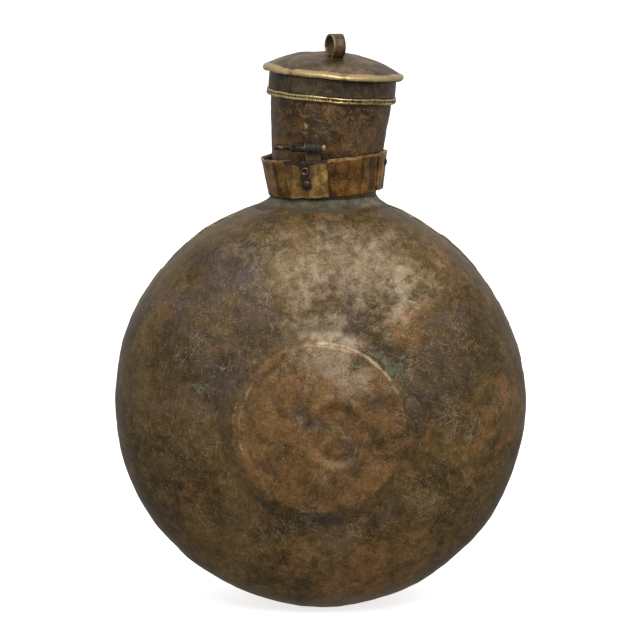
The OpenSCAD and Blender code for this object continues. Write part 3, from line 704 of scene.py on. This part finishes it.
tinge(neck_metal, scuffs.outputs[0], 0.85, (196, 160, 112))
neck_copper = finish_metal(neck_metal)
# Darker towards the neck's foot at the solder and just under the ring.
darker_ends = smooth((10 * mm - h) / (9 * mm)) * 0.55 + smooth((h - neck_h + 3 * mm) / (3 * mm)) * 0.3
piece("neck", points, faces, neck_copper, "bottle", "neck_tube",
      {"scuff": np.clip(bell(np.hypot((a - np.radians(252)) * 45 * mm, (h - 60 * mm) * 1.5), 12 * mm)
                        + 0.4 * bell((h - 68 * mm) / mm, 7)
                        + 0.35 * bell(np.hypot((a - np.radians(300)) * 45 * mm, h - 40 * mm), 14 * mm),
                        0, 1),
       "wear": np.clip(0.25 * smooth((h - 70 * mm) / (6 * mm)) * smooth((neck_h - h) / (2 * mm)), 0, 1),
       "grime": darker_ends})


def dress(node, metal):
    """Gives a CAD node that keeps its own mesh a metal of this file."""
    slots = frame["nodes"][node].data.materials
    slots.clear()
    slots.append(metal)


dress("neck_seam", brass_seam)

# ---------------------------------------------------------------------------
# THE SOLDER AT THE NECK'S FOOT
# Soft solder wiped round the joint with a rag, so it lies as a hollow fillet,
# thicker to the right where the neck leans, grey with a green bloom.

def circle(a):
    """Points of the unit circle, so that waves meet where a ring closes."""
    return np.stack([np.cos(a), np.sin(a)], -1)


around_a = np.arange(240) / 240 * 2 * np.pi


def round_neck(r, h):
    """Points at a distance r from the neck's axis and a height h along it, one for each angle."""
    return put(neck, np.stack([r * np.cos(around_a), r * np.sin(around_a), h + 0 * around_a], -1))


top_z = 2 * rim_r + (2.6 + 0.35 * waves(circle(around_a), 0.9, 111)) * mm
top_h = (top_z - neck[2, 3] - neck_r * (neck[2, 0] * np.cos(around_a) + neck[2,
    1] * np.sin(around_a))) / neck[2, 2]
reach = (11.5 + 5.0 * np.clip(np.cos(around_a), 0, 1) ** 2 + 3.5 * np.clip(-np.cos(around_a), 0, 1) ** 2
         + 0.9 * waves(circle(around_a), 0.7, 112)) * mm
neck_top = round_neck(neck_r + top_h * neck_slope, top_h)
toe = round_neck(neck_r + reach, 0)


def body_top(points, sink):
    """Height of the body's rounded top over points of the floor plan."""
    side_r = rim_r * np.cbrt(np.clip(1 - (np.abs(points[..., 1]) / half_depth) ** 3, 0, 1))
    x = points[..., 0] - middle[0]
    angle = np.arctan2(side_r, x)
    swell = 1 + out_of_round(angle) / rim_r
    return middle[2] + np.sqrt(np.clip((side_r * swell) ** 2 - x ** 2, 0, None)) - sink


toe[:, 2] = body_top(toe, 0.5 * mm)
heel = round_neck(neck_r, 0)
heel[:, 2] = body_top(heel, -0.4 * mm)
heel = 0.6 * heel + 0.2 * (neck_top + toe)
t = np.linspace(0, 1, 12)[:, None, None]
hollow = (1 - t) ** 2 * neck_top + 2 * t * (1 - t) * heel + t ** 2 * toe
hollow += np.array([0, 0, 1]) * (0.25 * mm * waves(hollow, 11 * mm, 113) * np.sin(np.pi * t[...,
    0]))[..., None]
buried = toe - [0, 0, 2.5 * mm]
inner = round_neck(neck_r - 1 * mm, top_h - 0.5 * mm)
low = inner.copy()
low[:, 2] = body_top(low, 3 * mm)
fillet = np.concatenate([hollow, buried[None], low[None], inner[None]])
solder_metal = aged("neck solder", (80, 73, 57), (108, 101, 80), (140, 133, 108), (182, 172, 142),
                    dirt=(82, 67, 44), shift=11.0,
                    metal=0.5, rough=(0.42, 0.62), scratch=0.4, depth=0.35)
tree = solder_metal["tree"]
bloom = spread(tree, noise(tree, solder_metal["here"], 9 * mm, 4, 0.7), 0.5, 0.72)
tinge(solder_metal, bloom, 0.6, (92, 96, 80))
solder_metal["roughness"] = plus(tree, solder_metal["roughness"], times(tree, bloom, 0.2), clamp=True)
grey_solder = finish_metal(solder_metal)
edge = np.concatenate([np.repeat(np.concatenate([[0.5], np.zeros(5), [0.25, 0.5, 0.8, 1.1, 1.3, 1.4]]),
                                 240), np.ones(3 * 240)])
piece("neck_fillet", fillet, grid_faces(len(fillet), 240, ring=True), grey_solder, "bottle",
      "neck_solder",
      {"grime": edge * 0.7, "wear": np.zeros(len(edge))})
dress("lid_solder", grey_solder)

# ---------------------------------------------------------------------------
# THE STOP RING
# A brass ring of two beads, soldered round the neck's top for the lid to rest
# on. The beads are worn bright and nicked; the groove between them holds dirt.

ring_out = mouth_r + 2.5 * mm
bead = 1.28 * mm
ring_profile = np.concatenate([[(neck_r + neck_h * neck_slope, neck_h - 0.1 * mm)],
                               arc((ring_out - bead, neck_h + bead), bead, -90, 62, 9),
                               [(ring_out - bead * 0.52, neck_h + ring_h / 2)],
                               arc((ring_out - bead, neck_h + ring_h - bead), bead, -62, 90, 9),
                               [(mouth_r - 0.6 * mm, neck_h + ring_h), (mouth_r - 0.8 * mm, neck_h
                                   + ring_h / 2)]])


def ring_relief(a, r, h):
    """Slow waves less fine nicks on the outer face, deepest in the groove."""
    out = smooth((r - ring_out + 2 * mm) / (1.5 * mm))
    fine = waves(circle(a) * ring_out, 1.9 * mm, 121)
    slow = waves(circle(a) * ring_out, 17 * mm, 122)
    groove = bell(h - neck_h - ring_h / 2, 0.9 * mm)
    return out * mm * (0.16 * slow - 0.10 * np.abs(fine) - 0.34 * groove * np.clip(fine, -0.2, 1))


def ring_droop(a, r, h):
    """Slow waves of 0.22 mm up and down."""
    return 0.22 * mm * waves(circle(a) * ring_out, 26 * mm, 123)


points, faces, (a, r, h) = turned(ring_profile, 720, neck, relief=ring_relief, squash=ring_droop)
fine = waves(circle(a) * ring_out, 1.9 * mm, 121)
groove = bell(h - neck_h - ring_h / 2, 0.75 * mm)
ring_metal = aged("worn brass", (112, 92, 54), (164, 142, 92), (198, 176, 122), (228, 208, 158),
                  dirt=(46, 38, 24), shift=5.5,
                  metal=0.9, rough=(0.28, 0.44), scratch=0.6, depth=0.2)
worn_brass = finish_metal(ring_metal)
piece("ring", points, faces, worn_brass, "bottle", "stop_ring",
      {"wear": np.clip(0.55 * smooth((r - ring_out + 0.9 * mm) / (0.7 * mm)) * (1 - groove), 0, 1),
       "grime": np.clip(0.95 * groove * smooth(0.5 + 0.9 * fine) + 0.6 * smooth((mouth_r + 1.4 * mm
           - r) / mm), 0, 1)})

# ---------------------------------------------------------------------------
# THE LID
# A brass disc beaten into a low dome, its edge rolled over a wire; a skirt of
# sheet is soldered under it and slips over the mouth. The rolled edge is gold
# where hands have worn it, and the dome has gone brown.

lid_rest = neck_h + ring_h + 0.3 * mm
skirt_h = 15.6 * mm
roll_r = 2.7 * mm
roll_c = mouth_r + 0.3 * mm + 1 * mm + 0.05 * mm + roll_r
roll_h = lid_rest + skirt_h
dome_h = 13.4 * mm
dome_foot = roll_h + roll_r
out_r = np.concatenate([line(0, 46 * mm, 40), line(47 * mm, roll_c - 1 * mm, 9)])
over_dome = np.stack([out_r, dome_foot + dome_h * (1 - (out_r / roll_c) ** 2.25)], -1)
rolled = arc((roll_c, roll_h), roll_r, 84, -150, 20)
under_r = line(roll_c - 3.4 * mm, 0, 22)
under_dome = np.stack([under_r, dome_foot + dome_h * (1 - (under_r / roll_c) ** 2.25) - 1.1 * mm], -1)
dome_profile = np.concatenate([over_dome, rolled, under_dome])
eye = np.array(mounts["loop_eye"]["pos_m"])
eye_axis = -np.array(mounts["loop_eye"]["axis"])
dome_sphere = (roll_c ** 2 + dome_h ** 2) / (2 * dome_h)
dome_middle = put(neck, np.array([0, 0, dome_foot + dome_h - dome_sphere]))
loop_up = (eye - dome_middle) / np.linalg.norm(eye - dome_middle)
seat = frame_at(dome_middle + loop_up * dome_sphere, loop_up, eye_axis)


def lid_relief(a, r, h):
    """Two sizes of waves in and out, on the rolled rim only."""
    rim = smooth((r - 49 * mm) / (4 * mm))
    return rim * mm * (0.28 * waves(circle(a) * 0.054, 30 * mm, 131)
                       + 0.12 * waves(circle(a) * 0.054, 8 * mm, 132))


def lid_droop(a, r, h):
    """Two sizes of waves up and down, and a tilt of the outer part."""
    flat = np.stack([r * np.cos(a), r * np.sin(a)], -1)
    return mm * (0.3 * waves(flat, 34 * mm, 133) + 0.08 * waves(flat, 11 * mm, 134)
                 + 0.5 * smooth((r - 30 * mm) / (26 * mm)) * np.cos(a - 2.4))


points, faces, (a, r, h) = turned(dome_profile, 360, neck, closed=False, relief=lid_relief,
                                  squash=lid_droop)
local = (points - seat[:3, 3]) @ seat[:3, :3]
slit = (np.abs(local[:, 0]) < 6.6 * mm) & (np.abs(local[:, 1]) < 5.2 * mm) & (local[:, 2] > -2 * mm)
slit_depth = smooth((6.6 * mm - np.abs(local[:, 0])) / (1.2 * mm)) * smooth((5.2 * mm
    - np.abs(local[:, 1])) / (1.2 * mm))
points = points - loop_up * (0.75 * mm * slit_depth * slit)[:, None]
tips = np.zeros(2)
on_rim = np.concatenate([(smooth((r - 50.5 * mm) / (2.6 * mm)) * smooth((h - roll_h
    + 2.6 * mm) / (2 * mm))).reshape(-1), tips])
uneven = np.concatenate([waves(np.stack([r * np.cos(a), r * np.sin(a)], -1), 13 * mm, 135).reshape(-1),
                         tips])
lid_metal = aged("lid brass", (84, 68, 48), (116, 97, 72), (148, 126, 96), (210, 182, 132),
                 dirt=(36, 30, 22), shift=9.1,
                 metal=0.7, rough=(0.34, 0.52), scratch=0.7, nick=0.28, contrast=0.3, depth=0.28)
lid_brass = finish_metal(lid_metal)
# The slit is only a shallow recess; its dark fill is painted shade standing in for a slit cut through. The
# underside inside the rolled rim is darker.
piece("lid_dome_beaten", points, faces, lid_brass, "lid", "lid_dome",
      {"wear": np.clip(on_rim * (0.74 + 0.1 * uneven), 0, 1), "grime": np.clip(1.2 * slit_depth * slit
          + np.concatenate([
          (0.8 * smooth((roll_h - h - 1.2 * mm) / mm)).reshape(-1), tips]), 0, 1)})
dress("lid_rim_wire", worn_brass)
skirt_metal = aged("dark brass", (60, 50, 38), (90, 76, 57), (120, 102, 76), (176, 148, 108),
                   dirt=(34, 29, 22), shift=13.7,
                   metal=0.74, rough=(0.34, 0.52), scratch=0.6, depth=0.3)
dark_brass = finish_metal(skirt_metal)
dress("lid_skirt", dark_brass)

# ---------------------------------------------------------------------------
# THE LOOP ON THE LID
# A strip of brass bent round by hand into a ring, with its ends pushed through
# a slit in the dome.

def ribbon(path, wide_way, out_way, width, thick, corner=0.3 * mm, across_steps=7, shift=0.0, relief=None):
    """A strip carried along a path. Its section is a flat bar with rounded corners, spread along
    wide_way and thickened along out_way; width and shift may change along the path. Both ends
    are closed with one flat face each. Also returns how near each point is to a corner."""
    half = thick / 2
    w = np.linspace(-1, 1, across_steps)
    bend = np.radians(np.array([70, 45, 20, -20, -45, -70]))
    flat_a = np.concatenate([w, np.ones(6), w[::-1], -np.ones(6)])
    corner_a = np.concatenate([np.zeros(across_steps), np.cos(bend) - 1, np.zeros(across_steps),
                               1 - np.cos(bend)]) * corner
    flat_o = np.concatenate([np.ones(across_steps), np.sin(bend), -np.ones(across_steps), -np.sin(bend)])
    edge = np.concatenate([bell(np.abs(w) - 1, 0.12), np.ones(6), bell(np.abs(w) - 1, 0.12), np.ones(6)])
    width = np.broadcast_to(np.asarray(width, float).reshape(-1, 1), (len(path), 1))
    shift = np.broadcast_to(np.asarray(shift, float).reshape(-1, 1), (len(path), 1))
    spread_a = flat_a * (width / 2 - corner) + np.sign(flat_a) * np.abs(corner_a
        + corner * (np.abs(flat_a) == 1)) + shift
    lift = np.broadcast_to(flat_o * half, spread_a.shape)
    points = path[:, None] + wide_way[:, None] * spread_a[..., None] + out_way[:, None] * lift[..., None]
    if relief is not None:
        points = points + out_way[:, None] * relief(points)[..., None]
    n, m = points.shape[:2]
    faces = grid_faces(n, m)
    faces += [list(range(m))[::-1], list(range((n - 1) * m, n * m))]
    ends = np.exp(-np.minimum(np.arange(n), np.arange(n)[::-1]) / 1.5)
    return points, faces, np.clip(np.broadcast_to(edge, (n, m)) + ends[:, None] * 0.5, 0, 1)


loop_r, loop_wall, loop_w = 9.9 * mm, 1.3 * mm, 9.8 * mm
loop_mid = loop_r - loop_wall / 2
loop_open = 54
turn = np.radians(np.linspace(-90 + loop_open / 2, 270 - loop_open / 2, 56))
eye_up = np.dot(eye - seat[:3, 3], loop_up)
ry = loop_mid * np.cos(turn) * (1 + 0.03 * np.cos(turn * 2 + 0.4))
rz = eye_up + loop_mid * np.sin(turn) * (1 + 0.02 * np.cos(turn * 3))
leg = np.linspace(1, 0, 6)[:-1]
first, last = (ry[0], rz[0]), (ry[-1], rz[-1])
path = np.concatenate([np.stack([0 * leg, first[0] + 0 * leg, first[1] - leg * (first[1] + 2.2 * mm)],
                                -1), np.stack([0 * turn, ry, rz], -1),
                       np.stack([0 * leg, last[0] + 0 * leg, last[1] - leg[::-1] * (last[1]
                           + 2.2 * mm)], -1)])
along = np.gradient(path, axis=0)
along /= np.linalg.norm(along, axis=1, keepdims=True)
wide = np.broadcast_to([1.0, 0, 0], path.shape)
outward = np.cross(along, wide)
width = loop_w * (1 + 0.05 * np.sin(np.linspace(0, 7, len(path))))
points, faces, edge = ribbon(path, wide, outward, width, loop_wall, corner=0.35 * mm,
                             relief=lambda p: 0.1 * mm * waves(p, 7 * mm, 141))
points = put(seat, points.reshape(-1, 3))
loop_metal = aged("loop brass", (58, 48, 36), (88, 74, 56), (122, 104, 80), (190, 160, 118),
                  dirt=(34, 29, 22), shift=2.2,
                  metal=0.76, rough=(0.32, 0.5), scratch=0.6, depth=0.25)
loop_brass = finish_metal(loop_metal)
piece("loop", points, faces, loop_brass, "lid", "lid_loop",
      {"wear": edge.reshape(-1) * 0.62, "grime": np.zeros(edge.size)})

# ---------------------------------------------------------------------------
# THE COLLAR
# One strip of brass bent loosely round the neck's foot, wider at the top. Its
# outer end laps over the inner one on the right, and a rivet holds them.

turn_point, turn_axis = joints["collar_turn"]["pos_m"], joints["collar_turn"]["axis"]
collar = frame_at(turn_point, turn_axis)
collar_h, collar_wall = 30 * mm, 1.2 * mm
collar_r = neck_r + 2.6 * mm + collar_wall
collar_tilt = math.radians(9.5)
lap_at, lap_angle = 62, 34


def round_strip(angles, h_low, h_high, out, thick, corner=0.35 * mm, across_steps=13, dents=0.0,
                ragged=0.0, seed=0, rounded=0.0):
    """A strip that lies on the collar's cone, the corners of its first end rounded off. angles are
    degrees to the right of the front, and out is how far the strip's middle lies outside the
    collar's outer face."""
    a = np.radians(angles - 90)
    radial = np.stack([np.cos(a), np.sin(a), 0 * a], -1)
    up = np.array([0, 0, 1.0])
    slant = math.sin(collar_tilt) * radial + math.cos(collar_tilt) * up
    face = math.cos(collar_tilt) * radial - math.sin(collar_tilt) * up
    h = (h_low + h_high) / 2
    r = collar_r + h * math.tan(collar_tilt)
    path = radial * r + up * h + face * np.asarray(out).reshape(-1, 1)
    round_way = circle(a) * 50 * mm
    width = (h_high - h_low) / math.cos(collar_tilt) + ragged * waves(round_way, 12 * mm, seed + 3)
    if rounded:
        near_end = np.clip(1 - (angles - angles[0]) / np.degrees(rounded / (50 * mm)), 0, 1)
        width = width - 2 * rounded * (1 - np.sqrt(1 - near_end ** 2))
    slip = 0.5 * ragged * waves(round_way, 17 * mm, seed + 4)
    points, faces, edge = ribbon(path, slant, face, width, thick, corner, across_steps, slip,
                                 relief=lambda p: dents * (waves(p, 24 * mm, seed)
                                                           + 0.35 * waves(p, 8 * mm, seed + 1)))
    return put(collar, points.reshape(-1, 3)), faces, edge, points


sweep = np.concatenate([np.linspace(lap_at, lap_at + 4, 14)[:-1], np.linspace(lap_at + 4, lap_at + 360
    + lap_angle - 4, 300)])
lapped = 1 - smooth((sweep - lap_at - lap_angle + 4) / 12)
out = -collar_wall / 2 + 1.24 * mm * lapped
points, faces, edge, local = round_strip(sweep, 0.35 * mm, collar_h, out, collar_wall, dents=0.14 * mm,
                                         ragged=0.4 * mm, seed=151, rounded=3 * mm)
high = smooth((local[..., 2] - collar_h + 3.5 * mm) / (3.5 * mm))
collar_metal = aged("collar brass", (84, 54, 24), (124, 86, 40), (164, 122, 62), (204, 172, 114),
                    dirt=(44, 32, 20), shift=4.4,
                    metal=0.7, rough=(0.32, 0.5), contrast=0.4, scratch=0.75, depth=0.3)


def smeared(m, strength, top):
    """Smears that run up and down a strip: noise stretched four times in height, cut to patches."""
    tree = m["tree"]
    tall = add(tree, "ShaderNodeMapping", {"Vector": m["here"], "Scale": (1.0, 1.0, 0.25)}).outputs[0]
    streaks = spread(tree, noise(tree, tall, 9 * mm, 4, 0.62, 0.4), 0.47, 0.6)
    tinge(m, streaks, strength, top)


smeared(collar_metal, 0.8, (58, 42, 26))
collar_brass = finish_metal(collar_metal)
inner_side = (np.hypot(local[..., 0], local[..., 1]) < collar_r + local[..., 2] * math.tan(collar_tilt)
              - 0.55 * mm)
# The strip is darker on its inner face.
piece("collar_strip", points, faces, collar_brass, "collar", "collar_band",
      {"wear": (edge * (0.3 + 0.35 * high)).reshape(-1) * 0.8, "grime": (0.45 * inner_side).reshape(-1)})
rivet_metal = aged("rivet copper", (48, 34, 26), (70, 49, 37), (98, 70, 52), (168, 132, 104),
                   dirt=(36, 28, 22), shift=8.8,
                   metal=0.8, rough=(0.32, 0.5), scratch=0.4, depth=0.2)
rivet_copper = finish_metal(rivet_metal)
dress("collar_rivet", rivet_copper)

# ---------------------------------------------------------------------------
# THE HINGE PLATE
# A square of brass bent to the collar and held by two rivets, with a tab at
# its top that goes up and rolls over the hinge pin as a knuckle.

swing = joints["hasp_swing"]
pin_way = np.array(swing["axis"])
hinge = frame_at(swing["pos_m"], np.cross(pin_way, [0, 1, 0]), pin_way)
plate_at, plate_angle, plate_h, plate_wall = 17, 40.5, 28.4 * mm, 1.2 * mm
sweep = np.linspace(-plate_at - plate_angle / 2, -plate_at + plate_angle / 2, 60)
points, faces, edge, local = round_strip(sweep, 0.6 * mm, plate_h + 1.9 * mm, 0.08 * mm
                                         + plate_wall / 2, plate_wall, dents=0.09 * mm,
                                         ragged=0.35 * mm, seed=161, across_steps=21)
a = np.degrees(np.arctan2(local[..., 1], local[..., 0])) + 90
near_rivets = bell((a + plate_at + 0.5) * 0.9, 5.5) * smooth((local[..., 2] - 3 * mm) / (6 * mm))
near_top = smooth((local[..., 2] - 25 * mm) / (4 * mm))
plate_metal = aged("plate brass", (104, 74, 36), (154, 114, 60), (196, 156, 92), (214, 178, 116),
                   dirt=(50, 37, 26), shift=6.1,
                   metal=0.7, rough=(0.32, 0.5), contrast=0.4, scratch=0.6, depth=0.3)
smeared(plate_metal, 0.55, (72, 52, 30))
plate_brass = finish_metal(plate_metal)
# The plate is darker round the rivets and towards its top under the knuckle.
piece("hinge_plate_sheet", points, faces, plate_brass, "collar", "hinge_plate",
      {"wear": (edge * 0.55 * (1 - near_top)).reshape(-1), "grime": np.clip(0.95 * near_rivets
          + 0.75 * near_top, 0, 1).reshape(-1)})

pin_r, pin_gap, knuckle_wall = 2.3 * mm, 0.08 * mm, 1.1 * mm
curl_r = pin_r + pin_gap + knuckle_wall / 2
knuckle_w, stub_w, knuckle_gap = 11.6 * mm, 10.2 * mm, 0.5 * mm
plate_x = stub_w / 2 + knuckle_gap + knuckle_w / 2


def curled(x, width, start, stop, tail):
    """A strip rolled round the hinge pin: an arc about the pin from one angle to another, which
    carries straight on as a tail. Angles are degrees from the back of the pin, going over its
    top. x is the middle of the strip along the pin."""
    bend = np.radians(np.linspace(stop, start, 44))
    ring = np.stack([0 * bend + x, curl_r * np.cos(bend), curl_r * np.sin(bend)], -1)
    step = ring[-1] - ring[-2]
    step /= np.linalg.norm(step)
    straight = ring[-1] + step * np.linspace(0, tail, 12)[1:, None]
    path = np.concatenate([ring, straight])
    along = np.gradient(path, axis=0)
    along /= np.linalg.norm(along, axis=1, keepdims=True)
    wide = np.broadcast_to([1.0, 0, 0], path.shape)
    return path, wide, np.cross(wide, along)


path, wide, outward = curled(plate_x, knuckle_w, 1.3, 318, 13 * mm)
points, faces, edge = ribbon(path, wide, outward, knuckle_w + 0.3 * mm * np.sin(np.arange(len(path))
    * 0.5), knuckle_wall, corner=0.3 * mm,
                             across_steps=9, relief=lambda p: 0.07 * mm * waves(p, 5 * mm, 171))
tail_down = np.repeat(smooth((np.arange(len(path)) - 43) / 10), points.shape[1])
points = put(hinge, points.reshape(-1, 3))
knuckle_metal = aged("knuckle brass", (60, 46, 32), (88, 66, 42), (120, 90, 56), (190, 156, 120),
                     dirt=(50, 46, 44), shift=1.7,
                     metal=0.7, rough=(0.3, 0.46), scratch=0.5, depth=0.25)
knuckle_brass = finish_metal(knuckle_metal)
piece("hinge_plate_knuckle", points, faces, knuckle_brass, "collar", "hinge_plate",
      {"wear": edge.reshape(-1) * 0.4, "grime": 0.9 - 0.7 * tail_down})

# ---------------------------------------------------------------------------
# THE PIN AND THE RIVETS
# A copper pin, hammered over at its right end; its bare left end is worn thin
# by the knuckle that is lost. The lower rivet has a domed head, and the upper
# one has lost its crown, so that a bright rim stands round a hollow.

along_pin = frame_at(put(hinge, np.array([0, 0, 0])), pin_way, (0, 0, 1))
pin_out, pin_tail, pin_end_r = 13.6 * mm, 5 * mm, 2.3 * mm
left = -stub_w / 2 - pin_out
shoulder = -stub_w / 2 - 0.4 * mm
right = plate_x + knuckle_w / 2 + pin_tail
pin_profile = np.concatenate([[(0, left)], [(1.3 * mm, left), (2.1 * mm, left + 0.25 * mm)],
                              line((pin_end_r, left + 0.8 * mm), (pin_end_r, shoulder - 0.2 * mm), 14),
                              line((pin_r, shoulder), (pin_r, right - 2.6 * mm), 20),
                              [(2.5 * mm, right - 2.2 * mm), (2.9 * mm, right - 1.4 * mm),
                              (2.85 * mm, right - 0.7 * mm), (2.2 * mm, right - 0.15 * mm),
                               (1.2 * mm, right + 0.0 * mm), (0, right)]])


def pin_relief(a, r, h):
    """Waves of 0.2 mm on the bare ends, none where the knuckles turn."""
    bare = smooth((shoulder - h) / (0.5 * mm)) + smooth((h - right + 3 * mm) / mm)
    return bare * mm * 0.2 * waves(np.stack([np.cos(a) * 2, np.sin(a) * 2, h / mm], -1), 4.0, 181)


points, faces, (a, r, h) = turned(pin_profile, 48, along_pin, closed=False, relief=pin_relief)
tips = np.zeros(2)
pin_metal = aged("pin copper", (66, 48, 34), (94, 70, 50), (126, 96, 70), (206, 164, 128), dirt=(36, 28,
    22), shift=12.3,
                 metal=0.85, rough=(0.28, 0.44), scratch=0.5, depth=0.2)
pin_copper = finish_metal(pin_metal)
piece("pin", points, faces, pin_copper, "collar", "hinge_pin",
      {"wear": np.concatenate([np.clip(smooth((h - right + 3.4 * mm) / (1.6 * mm))
                                       + 0.25 * smooth((shoulder - h - 2 * mm) / (3 * mm)), 0,
                                       1).reshape(-1), tips]),
       "grime": np.zeros(r.size + 2)})


def on_strip(angle, h):
    """Place on the collar's outer face, its Z pointing square out of the sloping strip."""
    a = math.radians(angle - 90)
    radial = np.array([math.cos(a), math.sin(a), 0])
    face = math.cos(collar_tilt) * radial - math.sin(collar_tilt) * np.array([0, 0, 1])
    place = radial * (collar_r + h * math.tan(collar_tilt)) + np.array([0, 0, h])
    return frame_at(put(collar, place), collar[:3, :3] @ face, (1, 0, 0))


def beaten_head(a, r, seed):
    """Waves of 0.16 mm over a rivet's head, from the angle and the distance to its middle."""
    return 0.16 * mm * waves(np.stack([np.cos(a), np.sin(a), r / (2 * mm)], -1), 2.2, seed)


seat_out = plate_wall + 0.1 * mm
dome_head = [(0, seat_out + 1.6 * mm), (0.8 * mm, seat_out + 1.55 * mm), (1.6 * mm, seat_out
    + 1.38 * mm), (2.4 * mm, seat_out + 1.02 * mm),
             (3.0 * mm, seat_out + 0.55 * mm), (3.35 * mm, seat_out + 0.1 * mm), (3.3 * mm, seat_out
                 - 0.25 * mm), (1.7 * mm, seat_out - 0.3 * mm), (0, seat_out - 0.3 * mm)]
cup_head = [(0, seat_out + 0.2 * mm), (0.8 * mm, seat_out + 0.22 * mm), (1.5 * mm, seat_out + 0.5 * mm),
            (2.05 * mm, seat_out + 1.15 * mm), (2.5 * mm, seat_out + 1.38 * mm),
            (2.95 * mm, seat_out + 1.15 * mm), (3.35 * mm, seat_out + 0.5 * mm), (3.5 * mm, seat_out),
            (3.4 * mm, seat_out - 0.3 * mm), (1.6 * mm, seat_out - 0.3 * mm), (0, seat_out - 0.3 * mm)]
for name, head, h_mid, seed in (("lower_rivet", dome_head, 11.36 * mm, 191), ("upper_rivet", cup_head,
    22.15 * mm, 192)):
    points, faces, (a, r, h) = turned(head, 40, on_strip(-plate_at, h_mid), closed=False,
                                      relief=lambda a, r, h: beaten_head(a, r, seed))
    top = np.concatenate([smooth((h - seat_out - 0.7 * mm) / (0.6 * mm)).reshape(-1), [0, 0]])
    # The hollow of the upper head is painted dark, as painted shade of a hole.
    hole = np.concatenate([smooth((1.8 * mm - r) / (0.5 * mm)).reshape(-1),
                           [1, 1]]) if head is cup_head else 0 * top
    piece(name, points, faces, rivet_copper, "collar", "hinge_rivets",
          {"wear": np.clip(top * (0.5 if head is cup_head else 0.2) - hole, 0, 1), "grime": hole})

# ---------------------------------------------------------------------------
# WHAT IS LEFT OF THE HASP
# A knuckle of dark iron sheet that still turns on the pin, with a torn scrap
# of its strip hanging under it.

path, wide, outward = curled(0.0, stub_w, -172, 150, 3.4 * mm)
n = len(path)
torn = smooth((np.arange(n) - 42) / 9)
width = stub_w * (1 - 0.5 * torn) + 0.25 * mm * np.sin(np.arange(n) * 0.9)
points, faces, edge = ribbon(path, wide, outward, width, knuckle_wall, corner=0.3 * mm, across_steps=9,
                             shift=-0.2 * stub_w * torn,
                             relief=lambda p: 0.08 * mm * waves(p, 4 * mm, 201))
points = put(hinge, points.reshape(-1, 3))
iron_metal = aged("dark iron", (40, 38, 36), (60, 56, 52), (88, 81, 72), (150, 140, 126), dirt=(28, 25,
    22), shift=10.2,
                  metal=0.7, rough=(0.34, 0.55), scratch=0.4, depth=0.3)
dark_iron = finish_metal(iron_metal)
piece("hasp_stub_curl", points, faces, dark_iron, "hasp_stub", "hasp_knuckle",
      {"wear": edge.reshape(-1) * 0.4, "grime": np.zeros(edge.size)})

# ---------------------------------------------------------------------------
# THE STUDIO
# White paper under the bottle, one large soft light high in front, a graded sky
# that the camera sees as white, and a camera that looks slightly down at the body.

floor_mesh = bpy.data.meshes.new("paper")
floor_mesh.from_pydata([(-9, -6, 0), (9, -6, 0), (9, 14, 0), (-9, 14, 0)], [], [(0, 1, 2, 3)])
floor = bpy.data.objects.new("paper", floor_mesh)
bpy.context.scene.collection.objects.link(floor)
paper = bpy.data.materials.new("paper")
paper.use_nodes = True
for key, value in (("Base Color", (0.9, 0.9, 0.9, 1)), ("Roughness", 0.9),
                   ("Emission Color", (1, 1, 1, 1)), ("Emission Strength", 0.75)):
    paper.node_tree.nodes["Principled BSDF"].inputs[key].default_value = value
paper.cycles.emission_sampling = "NONE"
floor_mesh.materials.append(paper)
floor.visible_glossy = False
floor.visible_diffuse = False

scene = bpy.context.scene
scene.view_settings.view_transform = "Standard"
world = bpy.data.worlds.new("studio")
scene.world = world
world.use_nodes = True
tree = world.node_tree
background = tree.nodes["Background"]
height = add(tree, "ShaderNodeSeparateXYZ",
             {0: add(tree, "ShaderNodeTexCoord").outputs["Generated"]}).outputs[2]
sky = add(tree, "ShaderNodeValToRGB", {0: plus(tree, times(tree, height, 0.5), 0.5)})
sky.color_ramp.elements[0].position, sky.color_ramp.elements[0].color = 0.0, (0.32, 0.305, 0.27, 1)
sky.color_ramp.elements[1].position, sky.color_ramp.elements[1].color = 1.0, (0.72, 0.71, 0.7, 1)
for place, level in ((0.38, 0.34), (0.5, 0.46), (0.62, 0.56)):
    sky.color_ramp.elements.new(place).color = (level, level, level, 1)
seen = add(tree, "ShaderNodeLightPath").outputs["Is Camera Ray"]
tree.links.new(over(tree, seen, sky.outputs[0], (1, 1, 1, 1)), background.inputs[0])


key = bpy.data.lights.new("key", "AREA")
key.shape = "RECTANGLE"
key.size, key.size_y, key.energy = 1.5, 1.1, 24
key_place, key_aim = np.array([0.25, -1.6, 1.65]), np.array([0, 0, 0.2])
light = bpy.data.objects.new("key", key)
scene.collection.objects.link(light)
light.matrix_world = Matrix(frame_at(key_place, key_place - key_aim).tolist())
light.visible_camera = False

lens = bpy.data.cameras.new("camera")
camera = bpy.data.objects.new("camera", lens)
scene.collection.objects.link(camera)
scene.camera = camera
pitch = math.radians(8)
distance, eye_height = 2.2, 0.586
# Focal length, and how far the body's middle lies below the middle of the frame, both as shares
# of the frame's width
focal = 4.33125
middle_below = 0.12484375
camera.location = (0, -distance, eye_height)
camera.rotation_euler = (math.pi / 2 - pitch, 0, 0)
lens.sensor_width = 36
lens.lens = focal * lens.sensor_width
down = math.atan2(eye_height - middle[2], distance) - pitch
lens.shift_x = 0.0003
lens.shift_y = middle_below - math.tan(down) * focal
